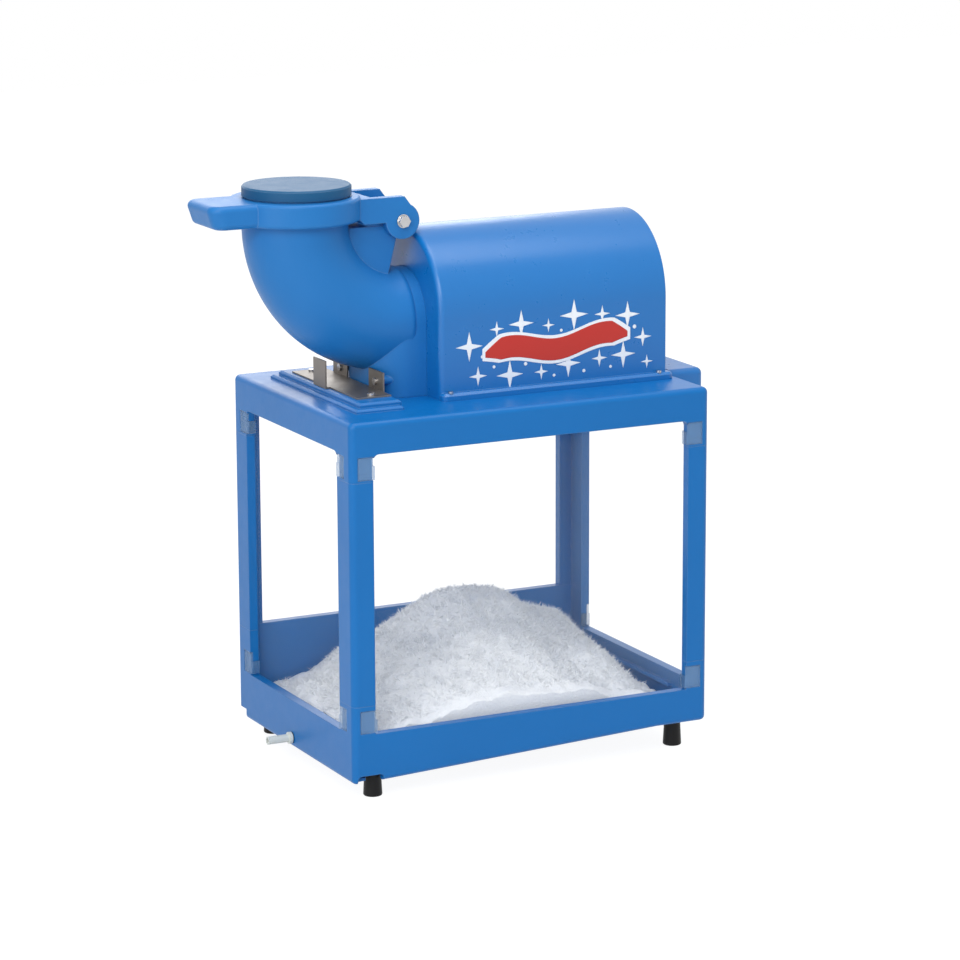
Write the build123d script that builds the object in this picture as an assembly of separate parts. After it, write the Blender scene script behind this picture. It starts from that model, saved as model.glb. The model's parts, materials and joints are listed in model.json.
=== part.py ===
from build123d import *
import math
import os

os.makedirs("parts", exist_ok=True)

# Electric ice shaver on a windowed cabinet, in millimetres.
# A hinged feed lever presses ice down a quarter-turn hopper onto a spinning cutter disc, and
# the shavings drop through the deck into the cabinet.
# The pieces are modelled about the middle of the cabinet's footprint on the floor: +X runs from
# the hopper to the switch box, +Y to the open serving side and +Z up. The whole machine is then
# shifted along X, so that the origin lies under the middle of its full length.

# ---- cabinet ----
cabinet_length = 495.0
cabinet_width = 358.0
cabinet_wall = 12.0
cabinet_rounding = 8.0
deck_top = 474.0
deck_thickness = 6.0
skirt_height = 40.5
window_corner_radius = 8.0
rim_height = 85.0
right_rim_rise = 5.5
rear_rim_height = 144.0
post_length_x = 30.0
post_length_y = 40.0
post_foot_height = 36.0
post_head_drop = 33.5
tongue_depth = 10.0
tongue_thickness = 4.0
tongue_clearance = 0.2
tongue_end_margin = 6.0

# ---- tray floor and feet ----
base_low_height = 22.5
base_high_height = 41.0
base_slope_run = 425.0
floor_thickness = 4.5
base_edge_rounding = 6.0
foot_height = 40.0
foot_top_radius = 10.0
foot_bottom_radius = 12.0
left_foot_inset_x = 36.5
left_foot_inset_y = 25.0
right_foot_inset_x = 23.5
right_foot_inset_y = 47.5
foot_pocket_width = 30.0
foot_notch_inset = 6.0
foot_notch_length = 34.5
foot_notch_height = 10.5
foot_notch_rounding = 5.0
corner_notch_length = 24.0
corner_notch_height = 13.0
foot_pad_cover = 4.0
foot_screw_radius = 2.5
foot_screw_head_radius = 5.0
foot_screw_head_height = 3.0
foot_screw_depth = 12.0

# ---- drain ----
drain_y = 9.0
drain_height = 35.5
drain_bore_radius = 3.2
drain_tube_radius = 5.1
drain_flange_radius = 7.5
drain_flange_thickness = 4.0
drain_reach = 33.5
drain_ring_thickness = 1.0

# ---- windows and their clips ----
window_thickness = 3.0
fit_gap = 0.3
window_top_cover = 12.5
window_seat_drop = 10.0
window_side_gap = 4.7
ledge_depth = 6.0
ledge_height = 5.0
ledge_end_gap = 30.0
clip_width = 20.0
clip_height = 28.0
clip_thickness = 3.3
clip_lip_thickness = 2.5
clip_lip_length = 16.5
clip_top_margin = 3.0
clip_bottom_margin = 1.5

# ---- shaved ice in the tray ----
ice_peak_height = 204.0
ice_peak_x = 6.0
ice_window_gap = 4.0

# ---- hopper elbow and its hinge ----
hinge_x = -110.5
elbow_radius = 126.5
hopper_outer_radius = 65.5
hopper_bore_radius = 60.0
hopper_mouth_rise = 4.2
elbow_end_length = 11.0
elbow_end_rounding = 10.0
web_half_width = 30.0
web_wall = 6.0
web_top_drop = 6.0
web_foot_lean = 12.0
web_overlap = 6.0
web_back_inset = 3.5
web_back_height = 16.0
web_core_slope = 14.0
boss_radius = 20.0
hinge_bolt_radius = 4.0
running_clearance = 0.05

# ---- neck, chute and cutter chamber ----
shaft_rise = 90.5
neck_radius = 63.0
neck_bore_radius = 58.0
neck_length = 42.0
pedestal_length = 84.0
pedestal_wall = 5.0
pedestal_rounding = 40.0
chamber_depth = 25.0
chute_half_width = 46.0
head_flange_radius = 78.0
head_flange_thickness = 6.0
ear_boss_radius = 5.5
ear_boss_y = 52.0
ear_boss_rise = 11.0
ear_boss_length = 30.0
chute_wall = 2.0
chute_drop = 44.0
chute_lip = 4.0
chute_rounding = 28.0

# ---- plinth and hopper bracket ----
plinth_length = 56.0
plinth_half_width = 122.0
plinth_step = 8.0
plinth_lower_height = 5.0
plinth_height = 11.0
plinth_slope = 2.5
bracket_thickness = 2.0
bracket_length = 46.0
bracket_half_width = 98.0
bracket_tab_half_width = 18.0
bracket_tab_height = 35.0
bracket_tab_offset = 6.5
bracket_ear_inner = 32.0
bracket_ear_outer = 74.0
bracket_ear_height = 25.0
bracket_screw_y = 88.0
small_screw_radius = 2.5
small_screw_head_radius = 4.6
small_screw_head_height = 2.6
small_screw_depth = 8.0

# ---- feed lever ----
lever_rise = 4.5
lever_thickness = 29.5
lever_ring_radius = 81.0
lever_ring_rounding = 4.0
lever_arm_thickness = 12.0
lever_side_gap = 0.3
lug_radius = 22.5
crown_height = 30.5
crown_corner_x = 2.5
crown_end_x = 18.0
crown_end_height = 10.0
arm_drop = 5.5
arm_drop_length = 57.5
clevis_gap = 19.0
handle_reach = 131.0
handle_lean = 10.0
handle_half_width = 44.5
handle_rounding = 7.0
handle_corner_radius = 16.0
cap_radius = 67.5
cap_thickness = 13.0
cap_gap = 2.0
cap_offset = 2.7
cap_seat_radius = 64.0
cap_bevel = 2.0
cap_spigot_radius = 8.0
cap_spigot_depth = 10.0
plug_radius = 57.0
plug_wall = 5.0
plug_arc = 45.0
plug_socket_gap = 0.4
plug_socket_depth = 21.5
plug_lug_radius = 8.0
plug_screw_circle = 46.0
plug_screw_angle = 60.0
plug_screw_radius = 3.0
plug_screw_head_radius = 5.0
plug_screw_head_height = 3.0
plug_screw_depth = 14.0

# ---- hinge bolt ----
bolt_head_width = 13.0
bolt_head_height = 5.5
bolt_nut_height = 6.5
bolt_washer_radius = 8.5
bolt_washer_thickness = 1.6
bolt_tail = 4.0

# ---- cutter ----
cutter_radius = 57.4
cutter_thickness = 8.0
cutter_hub_radius = 16.0
cutter_hub_length = 10.0
cutter_front_gap = 1.5
blade_count = 3
blade_inner = 14.0
blade_outer = 53.0
blade_width = 14.0
blade_thickness = 2.2
blade_slot_width = 8.0
blade_screw_radius = 2.0
blade_screw_head_radius = 3.6
blade_screw_head_height = 1.6
blade_screw_spacing = 22.0
cutter_nut_radius = 10.0
cutter_nut_length = 9.0

# ---- motor ----
shaft_radius = 7.0
bell_thickness = 8.0
bell_hub_radius = 24.0
bell_hub_length = 12.0
seal_radius = 14.0
seal_thickness = 5.0
bearing_radius = 17.5
bearing_width = 11.0
motor_radius = 68.0
motor_wall = 3.0
motor_length = 178.0
core_start = 38.0
core_end_room = 50.0
stator_bore_radius = 40.0
air_gap = 0.5
winding_length = 18.0
winding_outer_radius = 61.0
winding_inner_radius = 45.0
fan_bell_gap = 1.0
fan_radius = 54.0
fan_width = 12.0
fan_blades = 9
fan_blade_thickness = 2.5
fan_hub_radius = 14.0
head_screw_count = 6
head_screw_circle = 73.0
head_screw_radius = 2.5
head_screw_head_radius = 4.5
head_screw_head_height = 4.0
through_bolt_circle = 58.0
through_bolt_head_radius = 5.0
through_bolt_head_height = 4.0
cradle_start = 100.0
cradle_length = 40.0
cradle_half_width = 46.0
cradle_seat_drop = 56.0
cradle_foot_half_width = 62.0
cradle_foot_thickness = 5.0
cradle_screw_inset = 8.0
strap_thickness = 1.5
strap_width = 20.0
capacitor_radius = 15.0
capacitor_length = 78.0
capacitor_start = 60.0
capacitor_clip_width = 18.0
capacitor_clip_wall = 1.5

# ---- motor cover ----
cover_left = -89.5
cover_length = 317.0
cover_radius = 101.2
cover_arch_rise = 12.8
cover_wall = 2.0
cover_edge_rounding = 7.0
cover_lip_width = 9.0
cover_lip_height = 9.0
cover_lip_slope = 3.0
cover_lip_rounding = 8.0
cover_end_lip = 8.0
cover_panel_inset = 2.0
cover_screw_inset = 12.0
cover_screw_head_radius = 3.4
cover_screw_head_height = 2.6
louvre_count = 5
louvre_pitch = 14.0
louvre_height = 4.0
louvre_half_width = 45.0
louvre_rise = 71.0

# ---- switch box ----
box_depth = 48.0
box_half_width = 80.0
box_rise = 4.0
box_height = 68.0
box_wall = 3.0
box_rounding = 8.0
box_lip_length = 12.0
rocker_drop = 27.0
rocker_length = 26.0
rocker_width = 13.0
rocker_gap = 0.4
rocker_proud = 3.0
rocker_depth = 7.0
rocker_pivot_depth = 4.0
rocker_pivot_radius = 1.5
bezel_margin = 3.0
bezel_thickness = 2.0
bezel_depth = 10.0
gland_radius = 9.0
gland_bore_radius = 4.0
gland_reach = 14.0
gland_thread_radius = 7.0
gland_drop = 34.0

# ---- places that follow from the sizes above ----
half_length = cabinet_length / 2
half_width = cabinet_width / 2
window_top = deck_top - skirt_height
right_rim_height = rim_height + right_rim_rise
shaft_height = deck_top + shaft_rise
hinge_height = shaft_height + elbow_radius
hopper_x = hinge_x - elbow_radius
mouth_height = hinge_height + hopper_mouth_rise
pedestal_half_width = neck_radius
head_right = hinge_x + neck_length
pedestal_left = head_right - pedestal_length
chamber_left = head_right - chamber_depth
cutter_left = chamber_left - cutter_thickness
lever_bottom = hinge_height + lever_rise
lever_top = lever_bottom + lever_thickness
cap_bottom = lever_top + cap_gap
cap_top = cap_bottom + cap_thickness
cap_x = hopper_x + cap_offset
handle_end = hopper_x - handle_reach
box_right = half_length + box_depth
box_top = deck_top + box_rise
box_bottom = box_top - box_height
rocker_height = deck_top - rocker_drop
gland_height = deck_top - gland_drop
machine_right = box_right + bezel_thickness + rocker_proud
machine_shift = -(handle_end + machine_right) / 2
plinth_top = deck_top + plinth_height
bracket_right = pedestal_left - bracket_thickness
bracket_left = bracket_right - bracket_length
ear_boss_height = plinth_top + ear_boss_rise
motor_left = head_right + bell_thickness
motor_right = motor_left + motor_length
shaft_right = motor_right + bell_thickness
core_length = motor_length - core_start - core_end_room
cradle_top = shaft_height - cradle_seat_drop
cover_arch_height = shaft_height + cover_arch_rise
front_window_y = half_width - cabinet_wall - fit_gap
side_window_x = half_length - cabinet_wall - fit_gap
clip_base = rim_height + clip_bottom_margin
clip_top_base = window_top - clip_top_margin - clip_height


# ---- small helpers ----
def block(x_low, x_high, y_low, y_high, z_low, z_high):
    size = (x_high - x_low, y_high - y_low, z_high - z_low)
    centre = ((x_low + x_high) / 2, (y_low + y_high) / 2, (z_low + z_high) / 2)
    return Pos(*centre) * Box(*size)


def rod_x(x_low, x_high, radius, y=0.0, z=shaft_height):
    return Pos((x_low + x_high) / 2, y, z) * Rot(0, 90, 0) * Cylinder(radius, x_high - x_low)


def rod_y(y_low, y_high, radius, x, z):
    return Pos(x, (y_low + y_high) / 2, z) * Rot(90, 0, 0) * Cylinder(radius, y_high - y_low)


def rod_z(z_low, z_high, radius, x, y):
    return Pos(x, y, (z_low + z_high) / 2) * Cylinder(radius, z_high - z_low)


def prism_y(points, y_low, y_high):
    # a flat outline in X and Z, given thickness along Y
    outline = make_face(Polyline(*[(x, y_low, z) for x, z in points], close=True))
    return extrude(outline, amount=y_high - y_low, dir=(0, 1, 0))


def arch_x(x_low, x_high, radius, centre_height, half_span, foot):
    # a round-topped block along X with straight sides down to its foot
    top = rod_x(x_low, x_high, radius, z=centre_height)
    top = top & block(x_low, x_high, -half_span, half_span, centre_height, centre_height + radius)
    return top + block(x_low, x_high, -half_span, half_span, foot, centre_height)


def screw_z(x, y, seat, radius, depth, head_radius, head_height):
    # a pan-headed screw that points down from its seat
    return rod_z(seat - depth, seat, radius, x, y) + rod_z(seat, seat + head_height, head_radius, x, y)


def circle_points(count, radius, start=0.0):
    angles = [math.radians(start + 360.0 * i / count) for i in range(count)]
    return [(radius * math.cos(a), radius * math.sin(a)) for a in angles]


def publish(name, *solids):
    moved = [Pos(machine_shift, 0, 0) * solid for solid in solids]
    shape = moved[0] if len(moved) == 1 else Compound(children=moved)
    export_step(shape, f"parts/{name}.step")


# ---- cabinet ----
def corner_ell(side_x, side_y, inset, thickness, end_margin, z_low, z_high):
    # an L-shaped upright in one corner of the cabinet
    outer_x = half_length - inset
    outer_y = half_width - inset
    inner_x = half_length - post_length_x + end_margin
    inner_y = half_width - post_length_y + end_margin
    leg_x = block(inner_x, outer_x, outer_y - thickness, outer_y, z_low, z_high)
    leg_y = block(outer_x - thickness, outer_x, inner_y, outer_y, z_low, z_high)
    ell = leg_x + leg_y
    if side_x < 0:
        ell = mirror(ell, about=Plane.YZ)
    if side_y < 0:
        ell = mirror(ell, about=Plane.XZ)
    return ell


def corners():
    return [(side_x, side_y) for side_y in (-1, 1) for side_x in (-1, 1)]


def foot_top_of_post(side_y):
    return rear_rim_height if side_y > 0 else rim_height + post_foot_height


def tongue(side_x, side_y, z_low, z_high, clearance):
    inset = (cabinet_wall - tongue_thickness) / 2 - clearance
    thickness = tongue_thickness + 2 * clearance
    return corner_ell(side_x, side_y, inset, thickness, tongue_end_margin - clearance, z_low, z_high)


def post(side_x, side_y):
    low = foot_top_of_post(side_y)
    high = window_top - post_head_drop
    body = corner_ell(side_x, side_y, 0.0, cabinet_wall, 0.0, low, high)
    outer_edge = body.edges().filter_by(Axis.Z).sort_by_distance((side_x * half_length, side_y * half_width, 0))[0]
    body = fillet(outer_edge, cabinet_rounding)
    return body + tongue(side_x, side_y, low - tongue_depth, high + tongue_depth, 0.0)


def clip_places(base):
    # the corner clips of the front, left and right windows, each as wall, side and lowest height
    right_base = base + right_rim_rise if base == clip_base else base
    bases = {"front": base, "left": base, "right": right_base}
    return [(wall, side, low) for wall, low in bases.items() for side in (-1, 1)]


def at_wall(wall, side, inner, outer, depth_low, depth_high, z_low, z_high):
    # a block measured along a window wall and inwards from its outer face
    low, high = sorted((side * inner, side * outer))
    if wall == "front":
        return block(low, high, -half_width + depth_low, -half_width + depth_high, z_low, z_high)
    if wall == "left":
        return block(-half_length + depth_low, -half_length + depth_high, low, high, z_low, z_high)
    return block(half_length - depth_high, half_length - depth_low, low, high, z_low, z_high)


def post_edge(wall):
    return half_length - post_length_x if wall == "front" else half_width - post_length_y


def clip_pockets(base):
    cuts = []
    for wall, side, low in clip_places(base):
        inner = post_edge(wall) - 1.0
        outer = post_edge(wall) + clip_width + fit_gap
        depth = clip_thickness + fit_gap
        cuts.append(at_wall(wall, side, inner, outer, -1.0, depth, low, low + clip_height + 2 * fit_gap))
    return cuts


def window_clips():
    clips = []
    for base in (clip_base, clip_top_base):
        for wall, side, low in clip_places(base):
            edge = post_edge(wall)
            foot = low + fit_gap
            plate = at_wall(wall, side, edge, edge + clip_width, fit_gap, clip_thickness, foot, foot + clip_height)
            lip = at_wall(wall, side, edge - clip_lip_thickness, edge, fit_gap, cabinet_wall, foot,
                          foot + clip_lip_length)
            clips.append(plate + lip)
    return clips


def floor_outline(raise_by, end_inset, top):
    # the tray's sloping bottom, drained towards the left end
    run_end = -half_length + base_slope_run
    left = -half_length + end_inset
    right = half_length - end_inset
    return [(left, base_low_height + raise_by), (run_end, base_high_height + raise_by),
            (right, base_high_height + raise_by), (right, top), (left, top)]


def tray_opening_cuts():
    # what stands above the rims, between the feet of the posts
    top = rear_rim_height + 1.0
    front = block(-half_length + post_length_x, half_length - post_length_x, -half_width - 1.0,
                  half_width - post_length_y, rim_height, top)
    inner_right = half_length - cabinet_wall
    left = block(-half_length - 1.0, inner_right, -half_width + post_length_y, half_width - post_length_y,
                 rim_height, top)
    right = block(inner_right, half_length + 1.0, -half_width + post_length_y, half_width - post_length_y,
                  right_rim_height, top)
    front_feet = block(-half_length - 1.0, half_length + 1.0, -half_width - 1.0,
                       half_width - post_length_y, rim_height + post_foot_height, top)
    return [front, left, right, front_feet]


def foot_centres():
    insets = {-1: (left_foot_inset_x, left_foot_inset_y), 1: (right_foot_inset_x, right_foot_inset_y)}
    return [(side_x * (half_length - insets[side_x][0]), side_y * (half_width - insets[side_x][1]))
            for side_x, side_y in corners()]


def foot_pad(x, y):
    # the raised spot in the tray's floor above a left foot's recess
    half = foot_pocket_width / 2 + foot_pad_cover
    raised = block(x - half, x + half, y - half, y + half, base_high_height - 6.0, foot_height + foot_pad_cover)
    return raised & block(-half_length + 1.0, half_length, -half_width + 1.0, half_width - 1.0, 0, rim_height)


def foot_recess(x, y):
    # room for a left foot under the deep end, with a round-cornered notch through the wall beside it
    half = foot_pocket_width / 2
    side_y = 1 if y > 0 else -1
    low, high = sorted((y - side_y * half, side_y * (half_width - cabinet_wall)))
    notch_low, notch_high = sorted((side_y * (half_width - cabinet_wall - 1.0), side_y * (half_width + 1.0)))
    room = block(x - half, x + half, low, high, 0, foot_height)
    notch_left = -half_length + foot_notch_inset
    notch = block(notch_left, notch_left + foot_notch_length, notch_low, notch_high, 0,
                  base_low_height + foot_notch_height)
    return room + fillet(notch.edges().filter_by(Axis.Y).group_by(Axis.Z)[-1], foot_notch_rounding)


def corner_notch():
    # the cut-away lower corner at the rear of the left end
    return block(-half_length - 1.0, -half_length + cabinet_wall, half_width - corner_notch_length,
                 half_width + 1.0, 0, base_low_height + corner_notch_height)


def base_tray():
    tray = prism_y(floor_outline(0.0, 0.0, rear_rim_height), -half_width, half_width)
    tray = fillet(tray.edges().filter_by(Axis.Z), cabinet_rounding)
    bottom = tray.faces().filter_by(lambda f: f.normal_at().Z < -0.9)
    bend_x = -half_length + base_slope_run
    tray = fillet([e for e in bottom.edges() if abs(e.center().X - bend_x) > 1.0], base_edge_rounding)
    tray -= prism_y(floor_outline(floor_thickness, cabinet_wall, rear_rim_height + 1.0),
                    -half_width + cabinet_wall, half_width - cabinet_wall)
    for cut in tray_opening_cuts():
        tray -= cut
    for x, y in foot_centres():
        if x < 0:
            tray += foot_pad(x, y)
        else:
            tray += rod_z(foot_height, base_high_height + 1.0, foot_bottom_radius, x, y)
    for x, y in foot_centres():
        if x < 0:
            tray -= foot_recess(x, y)
        tray -= rod_z(foot_height - 1.0, rim_height, foot_screw_radius, x, y)
    for side_x, side_y in corners():
        top = foot_top_of_post(side_y)
        tray -= tongue(side_x, side_y, top - tongue_depth - tongue_clearance, top + 1.0, tongue_clearance)
    for cut in clip_pockets(clip_base):
        tray -= cut
    tray -= corner_notch()
    tray += window_ledges()
    return tray - rod_x(-half_length - 1.0, -half_length + cabinet_wall + 20.0, drain_tube_radius,
                        drain_y, drain_height)


def window_ledges():
    # the steps inside the tray that the windows stand on
    top = rim_height - window_seat_drop
    inner_y = half_width - cabinet_wall
    inner_x = half_length - cabinet_wall
    front_end = half_length - post_length_x - ledge_end_gap
    side_end = half_width - post_length_y - ledge_end_gap
    front = block(-front_end, front_end, -inner_y, -inner_y + ledge_depth, top - ledge_height, top)
    left = block(-inner_x, -inner_x + ledge_depth, -side_end, side_end, top - ledge_height, top)
    right = block(inner_x - ledge_depth, inner_x, -side_end, side_end, top - ledge_height, top)
    return front + left + right


def rubber_feet():
    feet = []
    for x, y in foot_centres():
        foot = Pos(x, y, foot_height / 2) * Cone(foot_bottom_radius, foot_top_radius, foot_height)
        foot = fillet(foot.edges().sort_by(Axis.Z)[0], 2.0)
        feet.append(foot - rod_z(foot_height - foot_screw_depth, foot_height, foot_screw_radius, x, y))
    return feet


def foot_seat(x):
    # the tray floor's height round a foot's screw
    return foot_height + foot_pad_cover if x < 0 else base_high_height + floor_thickness


def foot_screws():
    return [rod_z(foot_height - foot_screw_depth, foot_seat(x), foot_screw_radius, x, y)
            + rod_z(foot_seat(x), foot_seat(x) + foot_screw_head_height, foot_screw_head_radius, x, y)
            for x, y in foot_centres()]


def drain_spigot():
    outside = -half_length - drain_ring_thickness
    flange = rod_x(outside - drain_flange_thickness, outside, drain_flange_radius, drain_y, drain_height)
    tube = rod_x(-half_length - drain_reach, -half_length + cabinet_wall, drain_tube_radius, drain_y, drain_height)
    bore = rod_x(-half_length - drain_reach - 1.0, -half_length + cabinet_wall + 1.0, drain_bore_radius,
                 drain_y, drain_height)
    return flange + tube - bore


def drain_ring():
    ring = rod_x(-half_length - drain_ring_thickness, -half_length, drain_flange_radius, drain_y, drain_height)
    return ring - rod_x(-half_length - 5.0, -half_length + 1.0, drain_tube_radius, drain_y, drain_height)


def window_openings():
    # the four openings' round-cornered tops, cut out of the deck's skirt
    low = window_top - post_head_drop - 20.0
    across = block(-half_length + post_length_x, half_length - post_length_x, -half_width - 1.0,
                   half_width + 1.0, low, window_top)
    across = fillet(across.edges().filter_by(Axis.Y).group_by(Axis.Z)[-1], window_corner_radius)
    along = block(-half_length - 1.0, half_length + 1.0, -half_width + post_length_y,
                  half_width - post_length_y, low, window_top)
    along = fillet(along.edges().filter_by(Axis.X).group_by(Axis.Z)[-1], window_corner_radius)
    return across, along


def plinth():
    # the two steps that raise the hopper bracket above the deck
    right = pedestal_left
    left = right - plinth_length
    lower = block(left - plinth_step, right, -plinth_half_width - plinth_step, plinth_half_width + plinth_step,
                  deck_top - 1.0, deck_top + plinth_lower_height)
    lower = chamfer(lower.faces().sort_by(Axis.Z)[-1].edges(), plinth_slope)
    upper = block(left, right, -plinth_half_width, plinth_half_width, deck_top, plinth_top)
    upper = chamfer(upper.faces().sort_by(Axis.Z)[-1].edges(), plinth_slope)
    return lower + upper


def bracket_screw_places():
    return [((bracket_left + bracket_right) / 2, side * bracket_screw_y) for side in (-1, 1)]


def cover_screw_places():
    y = cover_radius + cover_lip_width / 2
    return [(x, side * y) for side in (-1, 1)
            for x in (cover_left + cover_screw_inset, cover_left + cover_length - cover_screw_inset)]


def cradle_screw_places():
    x = motor_left + cradle_start + cradle_length / 2
    return [(x, side * (cradle_foot_half_width - cradle_screw_inset)) for side in (-1, 1)]


def chute_well(inset, low, high):
    # the chute's outline in the deck, rounded at the left like the pedestal above it
    left = pedestal_left + pedestal_wall + chute_lip + inset
    right = head_right - pedestal_wall - fit_gap
    half = chute_half_width + chute_lip - inset
    well = block(left, right - inset, -half, half, low, high)
    return fillet(well.edges().filter_by(Axis.Z).group_by(Axis.X)[0], chute_rounding - inset)


def top_deck():
    low = window_top - post_head_drop
    deck = block(-half_length, half_length, -half_width, half_width, low, deck_top)
    deck = fillet(deck.edges().filter_by(Axis.Z), cabinet_rounding)
    deck = fillet(deck.faces().sort_by(Axis.Z)[-1].edges(), cabinet_rounding - 1.0)
    deck -= block(-half_length + cabinet_wall, half_length - cabinet_wall, -half_width + cabinet_wall,
                  half_width - cabinet_wall, low - 1.0, deck_top - deck_thickness)
    across, along = window_openings()
    deck = deck - across - along
    for side_x, side_y in corners():
        deck -= tongue(side_x, side_y, low - 1.0, low + tongue_depth + tongue_clearance, tongue_clearance)
    for cut in clip_pockets(clip_top_base):
        deck -= cut
    deck += plinth()
    deck -= chute_well(0.0, low, plinth_top + 1.0)
    for x, y in bracket_screw_places():
        deck -= rod_z(plinth_top - small_screw_depth, plinth_top + 1.0, small_screw_radius, x, y)
    for x, y in cover_screw_places() + cradle_screw_places():
        deck -= rod_z(deck_top - deck_thickness, deck_top + 1.0, small_screw_radius, x, y)
    return deck


def window_front():
    end = half_length - cabinet_wall - window_side_gap
    low = rim_height - window_seat_drop
    return block(-end, end, -front_window_y, -front_window_y + window_thickness, low, window_top + window_top_cover)


def window_side(side_x):
    end = front_window_y - window_thickness - fit_gap - 1.0
    low = rim_height - window_seat_drop
    inner, outer = sorted((side_x * (side_window_x - window_thickness), side_x * side_window_x))
    return block(inner, outer, -end, end, low, window_top + window_top_cover)


def shaved_ice():
    # a rounded heap that leans on the windows and lies on the tray's floor
    room_x = side_window_x - window_thickness - ice_window_gap
    room_y = front_window_y - window_thickness - ice_window_gap
    layers = [
        (0.0, 2 * room_x, 2 * room_y, 20.0, 0.0),
        (0.40, 2 * room_x - 16.0, 2 * room_y - 14.0, 60.0, 0.0),
        (0.62, 345.0, 262.0, 110.0, -10.0),
        (0.82, 245.0, 185.0, 80.0, -2.0),
        (0.95, 125.0, 95.0, 40.0, ice_peak_x),
        (1.0, 40.0, 32.0, 14.0, ice_peak_x),
    ]
    faces = [Plane((shift, 0, share * ice_peak_height)) * RectangleRounded(long, wide, radius)
             for share, long, wide, radius, shift in layers]
    heap = loft(faces, ruled=True)
    heap &= prism_y(floor_outline(floor_thickness, cabinet_wall, ice_peak_height), -half_width, half_width)
    for x, y in foot_centres():
        margin = foot_pocket_width / 2 + foot_pad_cover + fit_gap
        heap -= block(x - margin, x + margin, y - margin, y + margin, 0, foot_seat(x) + 4.0)
    ledge_top = rim_height - window_seat_drop
    ledge_room_y = half_width - cabinet_wall - ledge_depth - fit_gap
    heap -= block(-half_length, half_length, -half_width, -ledge_room_y, ledge_top - ledge_height - fit_gap,
                  ledge_top + fit_gap)
    for side_x in (-1, 1):
        inner, outer = sorted((side_x * (half_length - cabinet_wall - ledge_depth - fit_gap), side_x * half_length))
        heap -= block(inner, outer, -half_width, half_width, ledge_top - ledge_height - fit_gap, ledge_top + fit_gap)
    return heap


# ---- shaver head ----
def elbow_sweep(radius, arc=90.0):
    # a quarter turn about the hinge axis, from the mouth down to the shaft's line
    mouth = Plane(origin=(hopper_x, 0, hinge_height), z_dir=(0, 0, -1)) * Circle(radius)
    return revolve(mouth, axis=Axis((hinge_x, 0, hinge_height), (0, -1, 0)), revolution_arc=arc)


def hopper_outside():
    collar = rod_z(hinge_height, mouth_height, hopper_outer_radius, hopper_x, 0)
    end = rod_x(hinge_x, hinge_x + elbow_end_length, hopper_outer_radius)
    end = fillet(end.edges().filter_by(GeomType.CIRCLE).sort_by(Axis.X)[-1], elbow_end_rounding)
    return elbow_sweep(hopper_outer_radius) + collar + end


def hopper_inside():
    collar = rod_z(hinge_height, mouth_height + 1.0, hopper_bore_radius, hopper_x, 0)
    chamber = rod_x(hinge_x - 1.0, head_right, neck_bore_radius)
    return elbow_sweep(hopper_bore_radius) + collar + chamber


def hinge_web():
    # the gusset that carries the hinge above the elbow, cored out from its back
    left = hopper_x + hopper_outer_radius - web_overlap
    top = hinge_height - web_top_drop
    back = hinge_x - web_back_inset
    foot = shaft_height + neck_radius - web_overlap
    outline = [(left, top), (back, top), (back, top - web_back_height), (back - web_foot_lean, foot), (left, foot)]
    web = prism_y(outline, -web_half_width, web_half_width)
    core_outline = [(left + 1.0, top - web_wall), (back + 1.0, top - web_wall - web_core_slope),
                    (back + 1.0, foot), (left + 1.0, foot)]
    core = prism_y(core_outline, -web_half_width + web_wall, web_half_width - web_wall)
    boss = rod_y(-web_half_width, web_half_width, boss_radius, hinge_x, hinge_height)
    return web - core + boss


def pedestal(half, wall, low):
    solid = block(pedestal_left + wall, head_right, -half + wall, half - wall, low, shaft_height)
    edges = solid.edges().filter_by(Axis.Z).group_by(Axis.X)[0]
    return fillet(edges, pedestal_rounding - wall)


def shaver_head():
    tube = hopper_outside()
    neck = arch_x(hinge_x, head_right, neck_radius, shaft_height, neck_radius, shaft_height - 20.0)
    flange = rod_x(head_right - head_flange_thickness, head_right, head_flange_radius)
    hollow = pedestal(pedestal_half_width, pedestal_wall, deck_top - 1.0)
    hollow -= elbow_sweep(hopper_outer_radius)
    hollow -= rod_x(hinge_x, chamber_left, hopper_outer_radius)
    hollow -= block(head_right - pedestal_wall, head_right + 1.0, -half_width, half_width, 0, shaft_height)
    body = pedestal(pedestal_half_width, 0.0, deck_top) + neck - hollow
    body = body + flange + tube + hinge_web()
    for side in (-1, 1):
        body += rod_x(pedestal_left, pedestal_left + ear_boss_length, ear_boss_radius, side * ear_boss_y,
                      ear_boss_height)
    body -= hopper_inside()
    body -= block(chamber_left, head_right - pedestal_wall, -chute_half_width, chute_half_width, deck_top - 1.0,
                  shaft_height)
    for side in (-1, 1):
        body -= rod_x(pedestal_left - 1.0, pedestal_left + small_screw_depth, small_screw_radius,
                      side * ear_boss_y, ear_boss_height)
    for y, z in circle_points(head_screw_count, head_screw_circle, 30.0):
        body -= rod_x(head_right - head_flange_thickness - 1.0, head_right + 1.0, head_screw_radius, y,
                      shaft_height + z)
    half = web_half_width + 1.0
    return body - rod_y(-half, half, hinge_bolt_radius + running_clearance, hinge_x, hinge_height)


def ice_chute():
    # a sleeve that hangs in the deck's hole on a thin lip and sheds the ice into the cabinet
    low = deck_top - chute_drop
    sleeve = chute_well(fit_gap, low, deck_top)
    lip = chute_well(fit_gap - chute_lip, deck_top, deck_top + chute_wall)
    lip &= block(pedestal_left, head_right - pedestal_wall - fit_gap, -half_width, half_width, 0, hinge_height)
    return sleeve + lip - chute_well(fit_gap + chute_wall, low - 1.0, deck_top + chute_wall + 1.0)


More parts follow.
